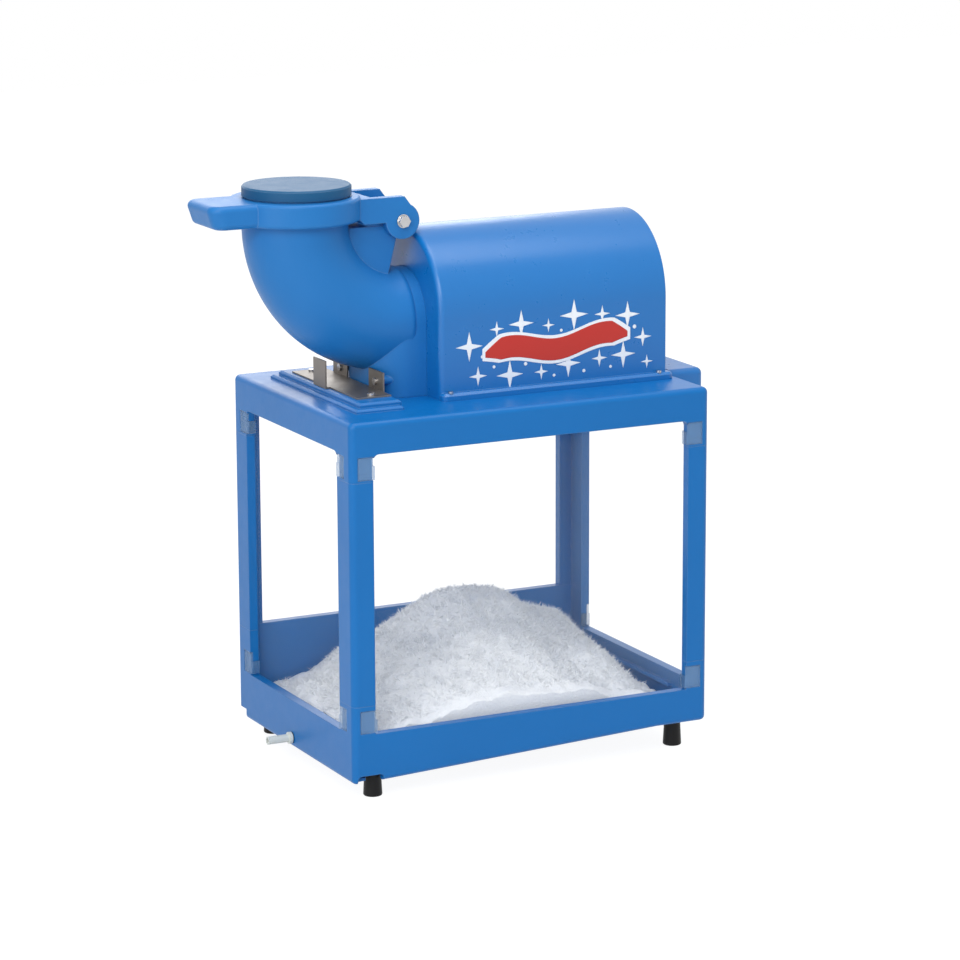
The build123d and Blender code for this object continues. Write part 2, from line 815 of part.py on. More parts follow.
def head_bracket():
    plate = block(bracket_left, bracket_right, -bracket_half_width, bracket_half_width, plinth_top,
                  plinth_top + bracket_thickness)
    tab_left = bracket_left - bracket_tab_offset
    tab = block(tab_left, tab_left + bracket_thickness, -bracket_tab_half_width, bracket_tab_half_width,
                plinth_top, plinth_top + bracket_tab_height)
    tongue_out = block(tab_left, bracket_left, -bracket_tab_half_width, bracket_tab_half_width, plinth_top,
                       plinth_top + bracket_thickness)
    bracket = plate + tab + tongue_out
    for side in (-1, 1):
        low, high = sorted((side * bracket_ear_inner, side * bracket_ear_outer))
        bracket += block(bracket_right, bracket_right + bracket_thickness, low, high, plinth_top,
                         plinth_top + bracket_ear_height)
        bracket -= rod_x(bracket_right - 1.0, bracket_right + 5.0, small_screw_radius, side * ear_boss_y,
                         ear_boss_height)
    bracket -= elbow_sweep(hopper_outer_radius + fit_gap)
    for x, y in bracket_screw_places():
        bracket -= rod_z(plinth_top - 1.0, plinth_top + 5.0, small_screw_radius, x, y)
    return bracket


def bracket_screws():
    screws = [screw_z(x, y, plinth_top + bracket_thickness, small_screw_radius,
                      small_screw_depth + bracket_thickness, small_screw_head_radius, small_screw_head_height)
              for x, y in bracket_screw_places()]
    for side in (-1, 1):
        y = side * ear_boss_y
        shank = rod_x(bracket_right, pedestal_left + small_screw_depth, small_screw_radius, y, ear_boss_height)
        head = rod_x(bracket_right - small_screw_head_height, bracket_right, small_screw_head_radius, y,
                     ear_boss_height)
        screws.append(shank + head)
    return screws


# ---- feed lever ----
def plug_screw_places():
    return [(hopper_x + x, y) for x, y in circle_points(3, plug_screw_circle, plug_screw_angle)]


def lever_handle():
    # a flat paddle whose end face leans back towards its underside
    outline = [(handle_end, lever_top), (handle_end + handle_lean, lever_bottom), (hopper_x, lever_bottom),
               (hopper_x, lever_top)]
    handle = prism_y(outline, -handle_half_width, handle_half_width)
    handle = fillet([e for e in handle.edges() if e.center().X < handle_end + handle_lean
                     and abs(e.center().Y) > handle_half_width - 1.0], handle_corner_radius)
    ends = [face.edges().sort_by(Axis.X)[0] for face in handle.faces().filter_by(Axis.Z)]
    return fillet(ends, handle_rounding)


def feed_lever():
    ring = rod_z(lever_bottom, lever_top, lever_ring_radius, hopper_x, 0)
    inner = web_half_width + lever_side_gap
    outer = inner + lever_arm_thickness
    clevis_left = hinge_x - boss_radius - clevis_gap
    arm_low = lever_bottom - arm_drop
    arm_low_left = hinge_x - arm_drop_length
    crown = [(hopper_x, lever_bottom), (arm_low_left, lever_bottom), (arm_low_left + arm_drop, arm_low),
             (hinge_x, arm_low), (hinge_x + crown_end_x, hinge_height + crown_end_height),
             (hinge_x + crown_corner_x, hinge_height + crown_height), (hopper_x, hinge_height + crown_height)]
    arms = prism_y(crown, -outer, outer) + rod_y(-outer, outer, lug_radius, hinge_x, hinge_height)
    reach = lug_radius + crown_height
    arms -= block(clevis_left, hinge_x + reach, -inner, inner, hinge_height - reach, hinge_height + reach)
    ring = fillet(ring.edges().filter_by(GeomType.CIRCLE), lever_ring_rounding)
    lever = ring + lever_handle() + arms
    lever += rod_z(lever_top - 1.0, cap_bottom, cap_seat_radius, cap_x, 0)
    lever -= rod_z(lever_bottom - 1.0, lever_bottom + plug_socket_depth, plug_radius + plug_socket_gap, hopper_x, 0)
    lever -= rod_z(cap_bottom - cap_spigot_depth, cap_bottom + 1.0, cap_spigot_radius, cap_x, 0)
    for x, y in plug_screw_places():
        lever -= rod_z(lever_bottom, cap_bottom + 1.0, plug_screw_radius, x, y)
        lever -= rod_z(cap_bottom - plug_screw_head_height, cap_bottom + 1.0, plug_screw_head_radius, x, y)
    return lever - rod_y(-outer - 1.0, outer + 1.0, hinge_bolt_radius + running_clearance, hinge_x, hinge_height)


def pusher_cap():
    cap = rod_z(cap_bottom, cap_top, cap_radius, cap_x, 0)
    cap = chamfer(cap.edges().filter_by(GeomType.CIRCLE).sort_by(Axis.Z)[-1], cap_bevel)
    return cap + rod_z(cap_bottom - cap_spigot_depth, cap_bottom, cap_spigot_radius, cap_x, 0)


def pusher_plug():
    # a hollow plug, bent about the hinge axis, that follows the elbow's bore
    top = lever_bottom + plug_socket_depth
    shell = elbow_sweep(plug_radius, plug_arc) + rod_z(hinge_height, top, plug_radius, hopper_x, 0)
    wall_arc = math.degrees(plug_wall / elbow_radius)
    inner = plug_radius - plug_wall
    shell -= elbow_sweep(inner, plug_arc - wall_arc) + rod_z(hinge_height, top + 1.0, inner, hopper_x, 0)
    for x, y in plug_screw_places():
        shell += rod_z(top - plug_screw_depth, top, plug_lug_radius, x, y) & rod_z(0, top, plug_radius, hopper_x, 0)
        shell -= rod_z(top - plug_screw_depth, top + 1.0, plug_screw_radius, x, y)
    return shell


def plug_screws():
    seat = cap_bottom - plug_screw_head_height
    low = lever_bottom + plug_socket_depth - plug_screw_depth
    return [rod_z(low, seat, plug_screw_radius, x, y)
            + rod_z(seat, cap_bottom, plug_screw_head_radius, x, y) for x, y in plug_screw_places()]


def hex_y(y_low, y_high, across_flats):
    hexagon = RegularPolygon(across_flats / 2, 6, major_radius=False)
    return extrude(Plane(origin=(hinge_x, y_low, hinge_height), x_dir=(1, 0, 0), z_dir=(0, 1, 0)) * hexagon,
                   amount=y_high - y_low)


def lever_outer_side():
    return web_half_width + lever_side_gap + lever_arm_thickness + lever_side_gap


def hinge_bolt():
    seat = lever_outer_side() + bolt_washer_thickness
    end = seat + bolt_nut_height + bolt_tail
    head = hex_y(-seat - bolt_head_height, -seat, bolt_head_width)
    return head + rod_y(-seat, end, hinge_bolt_radius, hinge_x, hinge_height)


def hinge_washers():
    low = lever_outer_side()
    washers = []
    for side in (-1, 1):
        y_low, y_high = sorted((side * low, side * (low + bolt_washer_thickness)))
        washer = rod_y(y_low, y_high, bolt_washer_radius, hinge_x, hinge_height)
        washers.append(washer - rod_y(y_low - 1.0, y_high + 1.0, hinge_bolt_radius, hinge_x, hinge_height))
    return washers


def hinge_nut():
    seat = lever_outer_side() + bolt_washer_thickness
    nut = hex_y(seat, seat + bolt_nut_height, bolt_head_width)
    return nut - rod_y(seat - 1.0, seat + bolt_nut_height + 1.0, hinge_bolt_radius, hinge_x, hinge_height)


# ---- cutter ----
def around_shaft(shape, index, count):
    return Pos(0, 0, shaft_height) * Rot(360.0 * index / count, 0, 0) * Pos(0, 0, -shaft_height) * shape


def blade_screw_offsets():
    middle = (blade_inner + blade_outer) / 2
    return [middle - blade_screw_spacing / 2, middle + blade_screw_spacing / 2]


def cutter_disc():
    disc = rod_x(cutter_left, chamber_left, cutter_radius)
    disc += rod_x(chamber_left, chamber_left + cutter_hub_length, cutter_hub_radius)
    for i in range(blade_count):
        slot = block(cutter_left - 1.0, chamber_left + 1.0, 0.0, blade_slot_width, shaft_height + blade_inner + 4.0,
                     shaft_height + blade_outer)
        disc -= around_shaft(slot, i, blade_count)
        for reach in blade_screw_offsets():
            hole = rod_x(cutter_left - 1.0, chamber_left - 1.0, blade_screw_radius, -blade_width / 2,
                         shaft_height + reach)
            disc -= around_shaft(hole, i, blade_count)
    return disc - rod_x(cutter_left - 1.0, chamber_left + cutter_hub_length + 1.0, shaft_radius)


def shaving_blades():
    blades = []
    for i in range(blade_count):
        blade = block(cutter_left - blade_thickness, cutter_left, -blade_width, 1.0, shaft_height + blade_inner,
                      shaft_height + blade_outer)
        edge = blade.edges().filter_by(Axis.Z).sort_by_distance((cutter_left, 1.0, shaft_height + blade_inner))[0]
        blade = chamfer(edge, blade_thickness * 0.6)
        for reach in blade_screw_offsets():
            blade -= rod_x(cutter_left - 5.0, cutter_left + 1.0, blade_screw_radius, -blade_width / 2,
                           shaft_height + reach)
        blades.append(around_shaft(blade, i, blade_count))
    return blades


def blade_screws():
    seat = cutter_left - blade_thickness
    screws = []
    for i in range(blade_count):
        for reach in blade_screw_offsets():
            height = shaft_height + reach
            screw = rod_x(seat, chamber_left - 1.0, blade_screw_radius, -blade_width / 2, height)
            screw += rod_x(seat - blade_screw_head_height, seat, blade_screw_head_radius, -blade_width / 2, height)
            screws.append(around_shaft(screw, i, blade_count))
    return screws


def cutter_nut():
    nut = rod_x(cutter_left - cutter_nut_length, cutter_left, cutter_nut_radius)
    nut = fillet(nut.edges().filter_by(GeomType.CIRCLE).sort_by(Axis.X)[0], cutter_nut_length / 3)
    return nut - rod_x(cutter_left - cutter_nut_length / 2, cutter_left + 1.0, shaft_radius)


def motor_shaft():
    return rod_x(cutter_left - cutter_nut_length / 2, shaft_right - 1.0, shaft_radius)


# ---- motor ----
def tube_x(x_low, x_high, outer, inner):
    return rod_x(x_low, x_high, outer) - rod_x(x_low - 1.0, x_high + 1.0, inner)


def head_screw_holes(x_low, x_high):
    return [rod_x(x_low, x_high, head_screw_radius, y, shaft_height + z)
            for y, z in circle_points(head_screw_count, head_screw_circle, 30.0)]


def front_end_bell():
    bell = rod_x(head_right, motor_left, head_flange_radius)
    bell += rod_x(motor_left, motor_left + bell_hub_length, bell_hub_radius)
    bell -= rod_x(head_right - 1.0, head_right + seal_thickness, seal_radius)
    bell -= rod_x(head_right, motor_left + bell_hub_length + 1.0, shaft_radius + 2.0)
    bell -= rod_x(motor_left, motor_left + bell_hub_length + 1.0, bearing_radius)
    for hole in head_screw_holes(head_right - 1.0, motor_left + 1.0):
        bell -= hole
    return bell


def rear_end_bell():
    bell = rod_x(motor_right, shaft_right, motor_radius)
    bell += rod_x(motor_right - bell_hub_length, motor_right, bell_hub_radius)
    bell -= rod_x(motor_right - bell_hub_length - 1.0, motor_right, bearing_radius)
    bell -= rod_x(motor_right - 1.0, shaft_right - 0.5, shaft_radius + 1.0)
    for y, z in circle_points(4, through_bolt_circle, 45.0):
        bell -= rod_x(motor_right - 1.0, shaft_right + 1.0, head_screw_radius, y, shaft_height + z)
    return bell


def shaft_seal():
    return tube_x(head_right, head_right + seal_thickness, seal_radius, shaft_radius + running_clearance)


def bearing(x_low):
    return tube_x(x_low, x_low + bearing_width, bearing_radius, shaft_radius + running_clearance)


def head_screws():
    screws = []
    for y, z in circle_points(head_screw_count, head_screw_circle, 30.0):
        height = shaft_height + z
        screw = rod_x(head_right - head_flange_thickness, motor_left, head_screw_radius, y, height)
        head = rod_x(motor_left, motor_left + head_screw_head_height, head_screw_head_radius, y, height)
        screws.append(screw + head)
    return screws


def motor_screws():
    screws = []
    for y, z in circle_points(4, through_bolt_circle, 45.0):
        height = shaft_height + z
        screw = rod_x(motor_right, shaft_right, head_screw_radius, y, height)
        head = rod_x(shaft_right, shaft_right + through_bolt_head_height, through_bolt_head_radius, y, height)
        screws.append(screw + head)
    return screws


def motor_shell():
    return tube_x(motor_left, motor_right, motor_radius, motor_radius - motor_wall)


def stator_core():
    left = motor_left + core_start
    return tube_x(left, left + core_length, motor_radius - motor_wall, stator_bore_radius)


def stator_windings():
    left = motor_left + core_start
    right = left + core_length
    return [tube_x(left - winding_length, left, winding_outer_radius, winding_inner_radius),
            tube_x(right, right + winding_length, winding_outer_radius, winding_inner_radius)]


def rotor_core():
    left = motor_left + core_start
    return tube_x(left, left + core_length, stator_bore_radius - air_gap, shaft_radius)


def cooling_fan():
    left = motor_right - bell_hub_length - fan_bell_gap - fan_width
    fan = rod_x(left, left + fan_width, fan_hub_radius) + rod_x(left, left + fan_blade_thickness, fan_radius)
    for i in range(fan_blades):
        vane = block(left, left + fan_width, -fan_blade_thickness / 2, fan_blade_thickness / 2,
                     shaft_height + fan_hub_radius - 1.0, shaft_height + fan_radius - 1.0)
        fan += around_shaft(vane, i, fan_blades)
    return fan - rod_x(left - 1.0, left + fan_width + 1.0, shaft_radius)


def motor_cradle():
    left = motor_left + cradle_start
    right = left + cradle_length
    cradle = block(left, right, -cradle_half_width, cradle_half_width, deck_top, cradle_top)
    cradle += block(left, right, -cradle_foot_half_width, cradle_foot_half_width, deck_top,
                    deck_top + cradle_foot_thickness)
    cradle -= rod_x(left - 1.0, right + 1.0, motor_radius)
    for x, y in cradle_screw_places():
        cradle -= rod_z(deck_top - 1.0, shaft_height, small_screw_radius, x, y)
    return cradle


def motor_strap():
    # a band over the motor whose ends stand on the cradle
    middle = motor_left + cradle_start + cradle_length / 2
    low = middle - strap_width / 2
    high = middle + strap_width / 2
    below = block(low - 1.0, high + 1.0, -head_flange_radius, head_flange_radius, 0, cradle_top)
    return tube_x(low, high, motor_radius + strap_thickness, motor_radius) - below


def capacitor_height():
    return shaft_height + motor_radius + capacitor_clip_wall + capacitor_radius


def capacitor():
    left = motor_left + capacitor_start - capacitor_length / 2
    return rod_x(left, left + capacitor_length, capacitor_radius, 0, capacitor_height())


def capacitor_clip():
    middle = motor_left + capacitor_start
    low = middle - capacitor_clip_width / 2
    high = middle + capacitor_clip_width / 2
    outer = capacitor_radius + capacitor_clip_wall
    clip = rod_x(low, high, outer, 0, capacitor_height())
    clip += block(low, high, -outer, outer, shaft_height + motor_radius - 8.0, capacitor_height())
    clip -= rod_x(low - 1.0, high + 1.0, capacitor_radius, 0, capacitor_height())
    return clip - rod_x(low - 1.0, high + 1.0, motor_radius)


# ---- motor cover ----
def motor_cover():
    right = cover_left + cover_length
    outside = arch_x(cover_left, right, cover_radius, cover_arch_height, cover_radius, deck_top)
    outside = fillet(outside.edges().filter_by(lambda e: abs(e.center().X - cover_left) < 0.1
                                               and e.center().Z > deck_top + 1.0), cover_edge_rounding)
    inner_radius = cover_radius - cover_wall
    inside = arch_x(cover_left + cover_wall, right + 1.0, inner_radius, cover_arch_height, inner_radius,
                    deck_top - 1.0)
    inside = fillet(inside.edges().filter_by(lambda e: abs(e.center().X - cover_left - cover_wall) < 0.1
                                             and e.center().Z > deck_top + 1.0), cover_edge_rounding - cover_wall)
    lip_y = cover_radius + cover_lip_width
    lip = block(cover_left, right + cover_end_lip, -lip_y, lip_y, deck_top, deck_top + cover_lip_height)
    lip = fillet(lip.edges().filter_by(Axis.Z), cover_lip_rounding)
    lip = chamfer(lip.faces().sort_by(Axis.Z)[-1].edges(), cover_lip_slope)
    lip -= block(cover_left - 1.0, right, -inner_radius, inner_radius, deck_top - 1.0, deck_top + cover_lip_height + 1.0)
    cover = outside - inside + lip
    cover -= arch_x(cover_left - 1.0, cover_left + 10.0, neck_radius + fit_gap, shaft_height,
                    neck_radius + fit_gap, deck_top - 1.0)
    for x, y in cover_screw_places():
        cover -= rod_z(deck_top - 1.0, deck_top + cover_lip_height + 1.0, small_screw_radius, x, y)
    return cover


def cover_end_panel():
    right = cover_left + cover_length - cover_panel_inset
    radius = cover_radius - cover_wall
    panel = arch_x(right - cover_wall, right, radius, cover_arch_height, radius, deck_top)
    for i in range(louvre_count):
        low = deck_top + louvre_rise + i * louvre_pitch
        panel -= block(right - 10.0, right + 1.0, -louvre_half_width, louvre_half_width, low, low + louvre_height)
    return panel


def cover_screws():
    seat = deck_top + cover_lip_height
    return [screw_z(x, y, seat, small_screw_radius, cover_lip_height + deck_thickness, cover_screw_head_radius,
                    cover_screw_head_height) for x, y in cover_screw_places()]


def cradle_screws():
    return [screw_z(x, y, deck_top + cradle_foot_thickness, small_screw_radius,
                    cradle_foot_thickness + deck_thickness, small_screw_head_radius, small_screw_head_height)
            for x, y in cradle_screw_places()]


# ---- switch box ----
def switch_box():
    box = block(half_length, box_right, -box_half_width, box_half_width, box_bottom, box_top)
    edges = [e for e in box.edges() if e.center().X > half_length + 1.0]
    box = fillet(edges, box_rounding)
    box -= block(half_length - 1.0, box_right - box_wall, -box_half_width + box_wall, box_half_width - box_wall,
                 box_bottom + box_wall, box_top - box_wall)
    slot_y = rocker_width / 2 + bezel_margin - 1.0
    slot_z = rocker_length / 2 + bezel_margin - 1.0
    box -= block(box_right - 10.0, box_right + 1.0, -slot_y, slot_y, rocker_height - slot_z, rocker_height + slot_z)
    middle = half_length + box_depth / 2
    return box - rod_y(box_half_width - 10.0, box_half_width + 1.0, gland_thread_radius, middle, gland_height)


def rocker_bezel():
    flange_y = rocker_width / 2 + rocker_gap + bezel_margin
    flange_z = rocker_length / 2 + rocker_gap + bezel_margin
    barrel_y = rocker_width / 2 + bezel_margin - 1.0
    barrel_z = rocker_length / 2 + bezel_margin - 1.0
    flange = block(box_right, box_right + bezel_thickness, -flange_y, flange_y, rocker_height - flange_z,
                   rocker_height + flange_z)
    barrel = block(box_right - bezel_depth, box_right, -barrel_y, barrel_y, rocker_height - barrel_z,
                   rocker_height + barrel_z)
    opening_y = rocker_width / 2 + rocker_gap
    opening_z = rocker_length / 2 + rocker_gap
    bezel = flange + barrel
    bezel -= block(box_right - bezel_depth + 1.0, box_right + 5.0, -opening_y, opening_y,
                   rocker_height - opening_z, rocker_height + opening_z)
    return bezel


def power_rocker():
    # the rocker turns about a short pin across its middle
    pivot_x = box_right + bezel_thickness - rocker_pivot_depth
    half = rocker_length / 2
    outline = [(pivot_x - 2.0, rocker_height - half + 3.0), (box_right + bezel_thickness, rocker_height - half),
               (box_right + bezel_thickness + 0.4, rocker_height - 2.0),
               (box_right + bezel_thickness + rocker_proud, rocker_height + half - 1.2),
               (pivot_x - 2.0, rocker_height + half - 3.0)]
    return prism_y(outline, -rocker_width / 2, rocker_width / 2)


def power_gland():
    middle = half_length + box_depth / 2
    gland = rod_y(box_half_width, box_half_width + gland_reach - 6.0, gland_radius, middle, gland_height)
    gland += rod_y(box_half_width + gland_reach - 6.0, box_half_width + gland_reach, gland_radius - 2.0, middle,
                   gland_height)
    gland += rod_y(box_half_width - box_wall - 3.0, box_half_width, gland_thread_radius, middle, gland_height)
    return gland - rod_y(box_half_width - 20.0, box_half_width + 30.0, gland_bore_radius, middle, gland_height)


# ---- every node ----
publish("base_tray", base_tray())
for side_x, side_y in corners():
    row = "rear" if side_y > 0 else "front"
    hand = "right" if side_x > 0 else "left"
    publish(f"{row}_{hand}_post", post(side_x, side_y))
publish("top_deck", top_deck())
publish("front_window", window_front())
publish("left_window", window_side(-1))
publish("right_window", window_side(1))
publish("window_clips", *window_clips())
publish("rubber_feet", *rubber_feet())
publish("foot_screws", *foot_screws())
publish("drain_spigot", drain_spigot())
publish("drain_ring", drain_ring())
publish("shaved_ice_pile", shaved_ice())
publish("shaver_head", shaver_head())
publish("ice_chute", ice_chute())
publish("head_bracket", head_bracket())
publish("bracket_screws", *bracket_screws())
publish("feed_lever", feed_lever())
publish("pusher_cap", pusher_cap())
publish("pusher_plug", pusher_plug())
publish("plug_screws", *plug_screws())
publish("hinge_bolt", hinge_bolt())
publish("hinge_washers", *hinge_washers())
publish("hinge_nut", hinge_nut())
publish("cutter_disc", cutter_disc())
publish("shaving_blades", *shaving_blades())
publish("blade_screws", *blade_screws())
publish("cutter_nut", cutter_nut())
publish("motor_shaft", motor_shaft())
publish("front_end_bell", front_end_bell())
publish("rear_end_bell", rear_end_bell())
publish("shaft_seal", shaft_seal())
publish("front_bearing", bearing(motor_left))
publish("rear_bearing", bearing(motor_right - bell_hub_length + 0.5))
publish("head_screws", *head_screws())
publish("motor_screws", *motor_screws())
publish("motor_shell", motor_shell())
publish("stator_core", stator_core())
publish("stator_windings", *stator_windings())
publish("rotor_core", rotor_core())
publish("cooling_fan", cooling_fan())
publish("motor_cradle", motor_cradle())
publish("motor_strap", motor_strap())
publish("cradle_screws", *cradle_screws())
publish("capacitor", capacitor())
publish("capacitor_clip", capacitor_clip())
publish("motor_cover", motor_cover())
publish("cover_end_panel", cover_end_panel())
publish("cover_screws", *cover_screws())
publish("switch_box", switch_box())
publish("rocker_bezel", rocker_bezel())
publish("power_rocker", power_rocker())
publish("power_gland", power_gland())
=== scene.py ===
import bpy
import json
import random
from math import cos, pi, radians, sin
from mathutils import Matrix, Vector, noise


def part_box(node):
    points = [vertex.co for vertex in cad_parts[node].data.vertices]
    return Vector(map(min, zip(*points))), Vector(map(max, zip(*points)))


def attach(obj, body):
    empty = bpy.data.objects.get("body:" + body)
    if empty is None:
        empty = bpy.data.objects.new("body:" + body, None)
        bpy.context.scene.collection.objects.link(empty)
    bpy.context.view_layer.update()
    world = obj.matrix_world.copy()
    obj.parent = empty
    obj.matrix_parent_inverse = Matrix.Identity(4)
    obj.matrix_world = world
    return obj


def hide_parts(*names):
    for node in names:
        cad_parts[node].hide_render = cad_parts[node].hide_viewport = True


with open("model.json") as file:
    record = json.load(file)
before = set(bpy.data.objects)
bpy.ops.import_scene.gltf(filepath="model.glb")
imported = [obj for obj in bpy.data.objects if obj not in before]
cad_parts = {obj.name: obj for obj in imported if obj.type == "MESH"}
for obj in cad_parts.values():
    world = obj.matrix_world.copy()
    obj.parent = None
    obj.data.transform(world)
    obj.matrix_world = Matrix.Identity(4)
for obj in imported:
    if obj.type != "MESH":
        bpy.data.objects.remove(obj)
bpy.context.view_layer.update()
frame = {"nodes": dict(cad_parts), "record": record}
nodes = frame["nodes"]
print("stage: the machine's frame is loaded")


# studio
studio = {
    "cameraPlace": (-2.0592, -4.2271, 1.3996),
    "cameraYaw": -26.505,
    "cameraPitch": 12.605,
    "cameraRoll": -0.222,
    "lens": 142.5,
    "sensor": 36.0,
    "farthestSeen": 60.0,
    "floorSize": 14.0,
    "backdrop": (1.0, 1.0, 1.0),
    "bounceColor": (0.80, 0.82, 0.85),
    "bounceStrength": 0.62,
    "floorPaint": 0.82,
    "floorGlow": 0.93,
    "floorShadow": 0.20,
    "lampAim": (0.0, 0.0, 0.5),
    "lamps": [
        ("keyLamp", (-1.9, -3.0, 2.7), (2.0, 1.6), 62.0),
        ("leftLamp", (-3.3, -1.8, 1.3), (1.8, 1.8), 28.0),
        ("topLamp", (0.1, -0.5, 3.1), (2.4, 1.6), 42.0),
        ("backLamp", (0.6, 3.4, 1.8), (2.6, 1.6), 30.0),
    ],
}


def aimCamera():
    camera = bpy.data.cameras.new("studioCamera")
    camera.lens = studio["lens"]
    camera.sensor_width = studio["sensor"]
    camera.clip_end = studio["farthestSeen"]
    holder = bpy.data.objects.new("studioCamera", camera)
    bpy.context.scene.collection.objects.link(holder)
    turn = Matrix.Rotation(radians(studio["cameraYaw"]), 3, "Z")
    turn = turn @ Matrix.Rotation(radians(90.0 - studio["cameraPitch"]), 3, "X")
    turn = turn @ Matrix.Rotation(radians(studio["cameraRoll"]), 3, "Z")
    holder.location = studio["cameraPlace"]
    holder.rotation_euler = turn.to_euler()
    bpy.context.scene.camera = holder


def hangLamp(name, place, aim, size, power):
    lamp = bpy.data.lights.new(name, "AREA")
    lamp.shape = "RECTANGLE"
    lamp.size, lamp.size_y = size
    lamp.energy = power
    holder = bpy.data.objects.new(name, lamp)
    bpy.context.scene.collection.objects.link(holder)
    holder.location = place
    holder.rotation_euler = (Vector(aim) - Vector(place)).to_track_quat("-Z", "Y").to_euler()


def seenDirectly(tree):
    # 1 for rays from the camera, from mirror-like surfaces and through clear ones
    path = tree.nodes.new("ShaderNodeLightPath")
    either = path.outputs["Is Camera Ray"]
    for kind in ("Is Transmission Ray", "Is Glossy Ray"):
        larger = tree.nodes.new("ShaderNodeMath")
        larger.operation = "MAXIMUM"
        tree.links.new(either, larger.inputs[0])
        tree.links.new(path.outputs[kind], larger.inputs[1])
        either = larger.outputs[0]
    return either


def lightTheRoom():
    world = bpy.data.worlds.new("studioRoom")
    world.use_nodes = True
    bpy.context.scene.world = world
    tree = world.node_tree
    tree.nodes.clear()
    bounce = tree.nodes.new("ShaderNodeBackground")
    bounce.inputs["Color"].default_value = (*studio["bounceColor"], 1.0)
    bounce.inputs["Strength"].default_value = studio["bounceStrength"]
    white = tree.nodes.new("ShaderNodeBackground")
    white.inputs["Color"].default_value = (*studio["backdrop"], 1.0)
    white.inputs["Strength"].default_value = 1.0
    mix = tree.nodes.new("ShaderNodeMixShader")
    out = tree.nodes.new("ShaderNodeOutputWorld")
    tree.links.new(seenDirectly(tree), mix.inputs["Fac"])
    tree.links.new(bounce.outputs[0], mix.inputs[1])
    tree.links.new(white.outputs[0], mix.inputs[2])
    tree.links.new(mix.outputs[0], out.inputs["Surface"])
    for name, place, size, power in studio["lamps"]:
        hangLamp(name, place, studio["lampAim"], size, power)


def layFloor():
    bpy.ops.object.select_all(action="DESELECT")
    bpy.ops.mesh.primitive_plane_add(size=studio["floorSize"], location=(0.0, 0.0, 0.0))
    floor = bpy.context.object
    floor.name = "studioFloor"
    material = bpy.data.materials.new("paleFloor")
    material.use_nodes = True
    tree = material.node_tree
    tree.nodes.clear()
    paint = tree.nodes.new("ShaderNodeBsdfDiffuse")
    paint.inputs["Color"].default_value = (*[studio["floorPaint"]] * 3, 1.0)
    # seen directly, the floor glows nearly white and a little of its paint keeps the shadow
    glow = tree.nodes.new("ShaderNodeEmission")
    glow.inputs["Color"].default_value = (*studio["backdrop"], 1.0)
    glow.inputs["Strength"].default_value = studio["floorGlow"]
    thinPaint = tree.nodes.new("ShaderNodeBsdfDiffuse")
    thinPaint.inputs["Color"].default_value = (*[studio["floorShadow"]] * 3, 1.0)
    seen = tree.nodes.new("ShaderNodeAddShader")
    tree.links.new(glow.outputs[0], seen.inputs[0])
    tree.links.new(thinPaint.outputs[0], seen.inputs[1])
    mix = tree.nodes.new("ShaderNodeMixShader")
    out = tree.nodes.new("ShaderNodeOutputMaterial")
    tree.links.new(seenDirectly(tree), mix.inputs["Fac"])
    tree.links.new(paint.outputs[0], mix.inputs[1])
    tree.links.new(seen.outputs[0], mix.inputs[2])
    tree.links.new(mix.outputs[0], out.inputs["Surface"])
    floor.data.materials.append(material)


bpy.context.scene.view_settings.view_transform = "Standard"
aimCamera()
lightTheRoom()
layFloor()
print("stage: camera, lamps and floor")


# shader groups
def addSocket(group, name, direction, kind, value=None):
    socket = group.interface.new_socket(name=name, in_out=direction, socket_type=kind)
    if value is not None:
        socket.default_value = value
    return socket


def mathNode(tree, operation, first, second=None, clamp=False):
    node = tree.nodes.new("ShaderNodeMath")
    node.operation = operation
    node.use_clamp = clamp
    for index, value in enumerate((first, second)):
        if value is None:
            continue
        if isinstance(value, (int, float)):
            node.inputs[index].default_value = value
        else:
            tree.links.new(value, node.inputs[index])
    return node.outputs[0]


def noiseNode(tree, vector, scale, detail=3.0, rough=0.55):
    node = tree.nodes.new("ShaderNodeTexNoise")
    node.inputs["Detail"].default_value = detail
    node.inputs["Roughness"].default_value = rough
    tree.links.new(vector, node.inputs["Vector"])
    if isinstance(scale, (int, float)):
        node.inputs["Scale"].default_value = scale
    else:
        tree.links.new(scale, node.inputs["Scale"])
    return node.outputs["Fac"]


def mixColor(tree, share, first, second):
    node = tree.nodes.new("ShaderNodeMix")
    node.data_type = "RGBA"
    for socket, value in ((node.inputs[0], share), (node.inputs[6], first), (node.inputs[7], second)):
        if isinstance(value, (int, float)):
            socket.default_value = value
        elif isinstance(value, tuple):
            socket.default_value = (*value[:3], 1.0)
        else:
            tree.links.new(value, socket)
    return node.outputs[2]


skinPattern = {
    "driftScale": 9.0,
    "scuffScale": 55.0,
    "scuffShare": 0.18,
    # the edge gain and edge colour below set the painted highlight on rounded edges
    "edgeHighlightGain": 6.0,
    "edgeHighlightColor": (0.8, 0.88, 0.95),
    "grainDepth": 0.0004,
    "bevelSamples": 4,
}


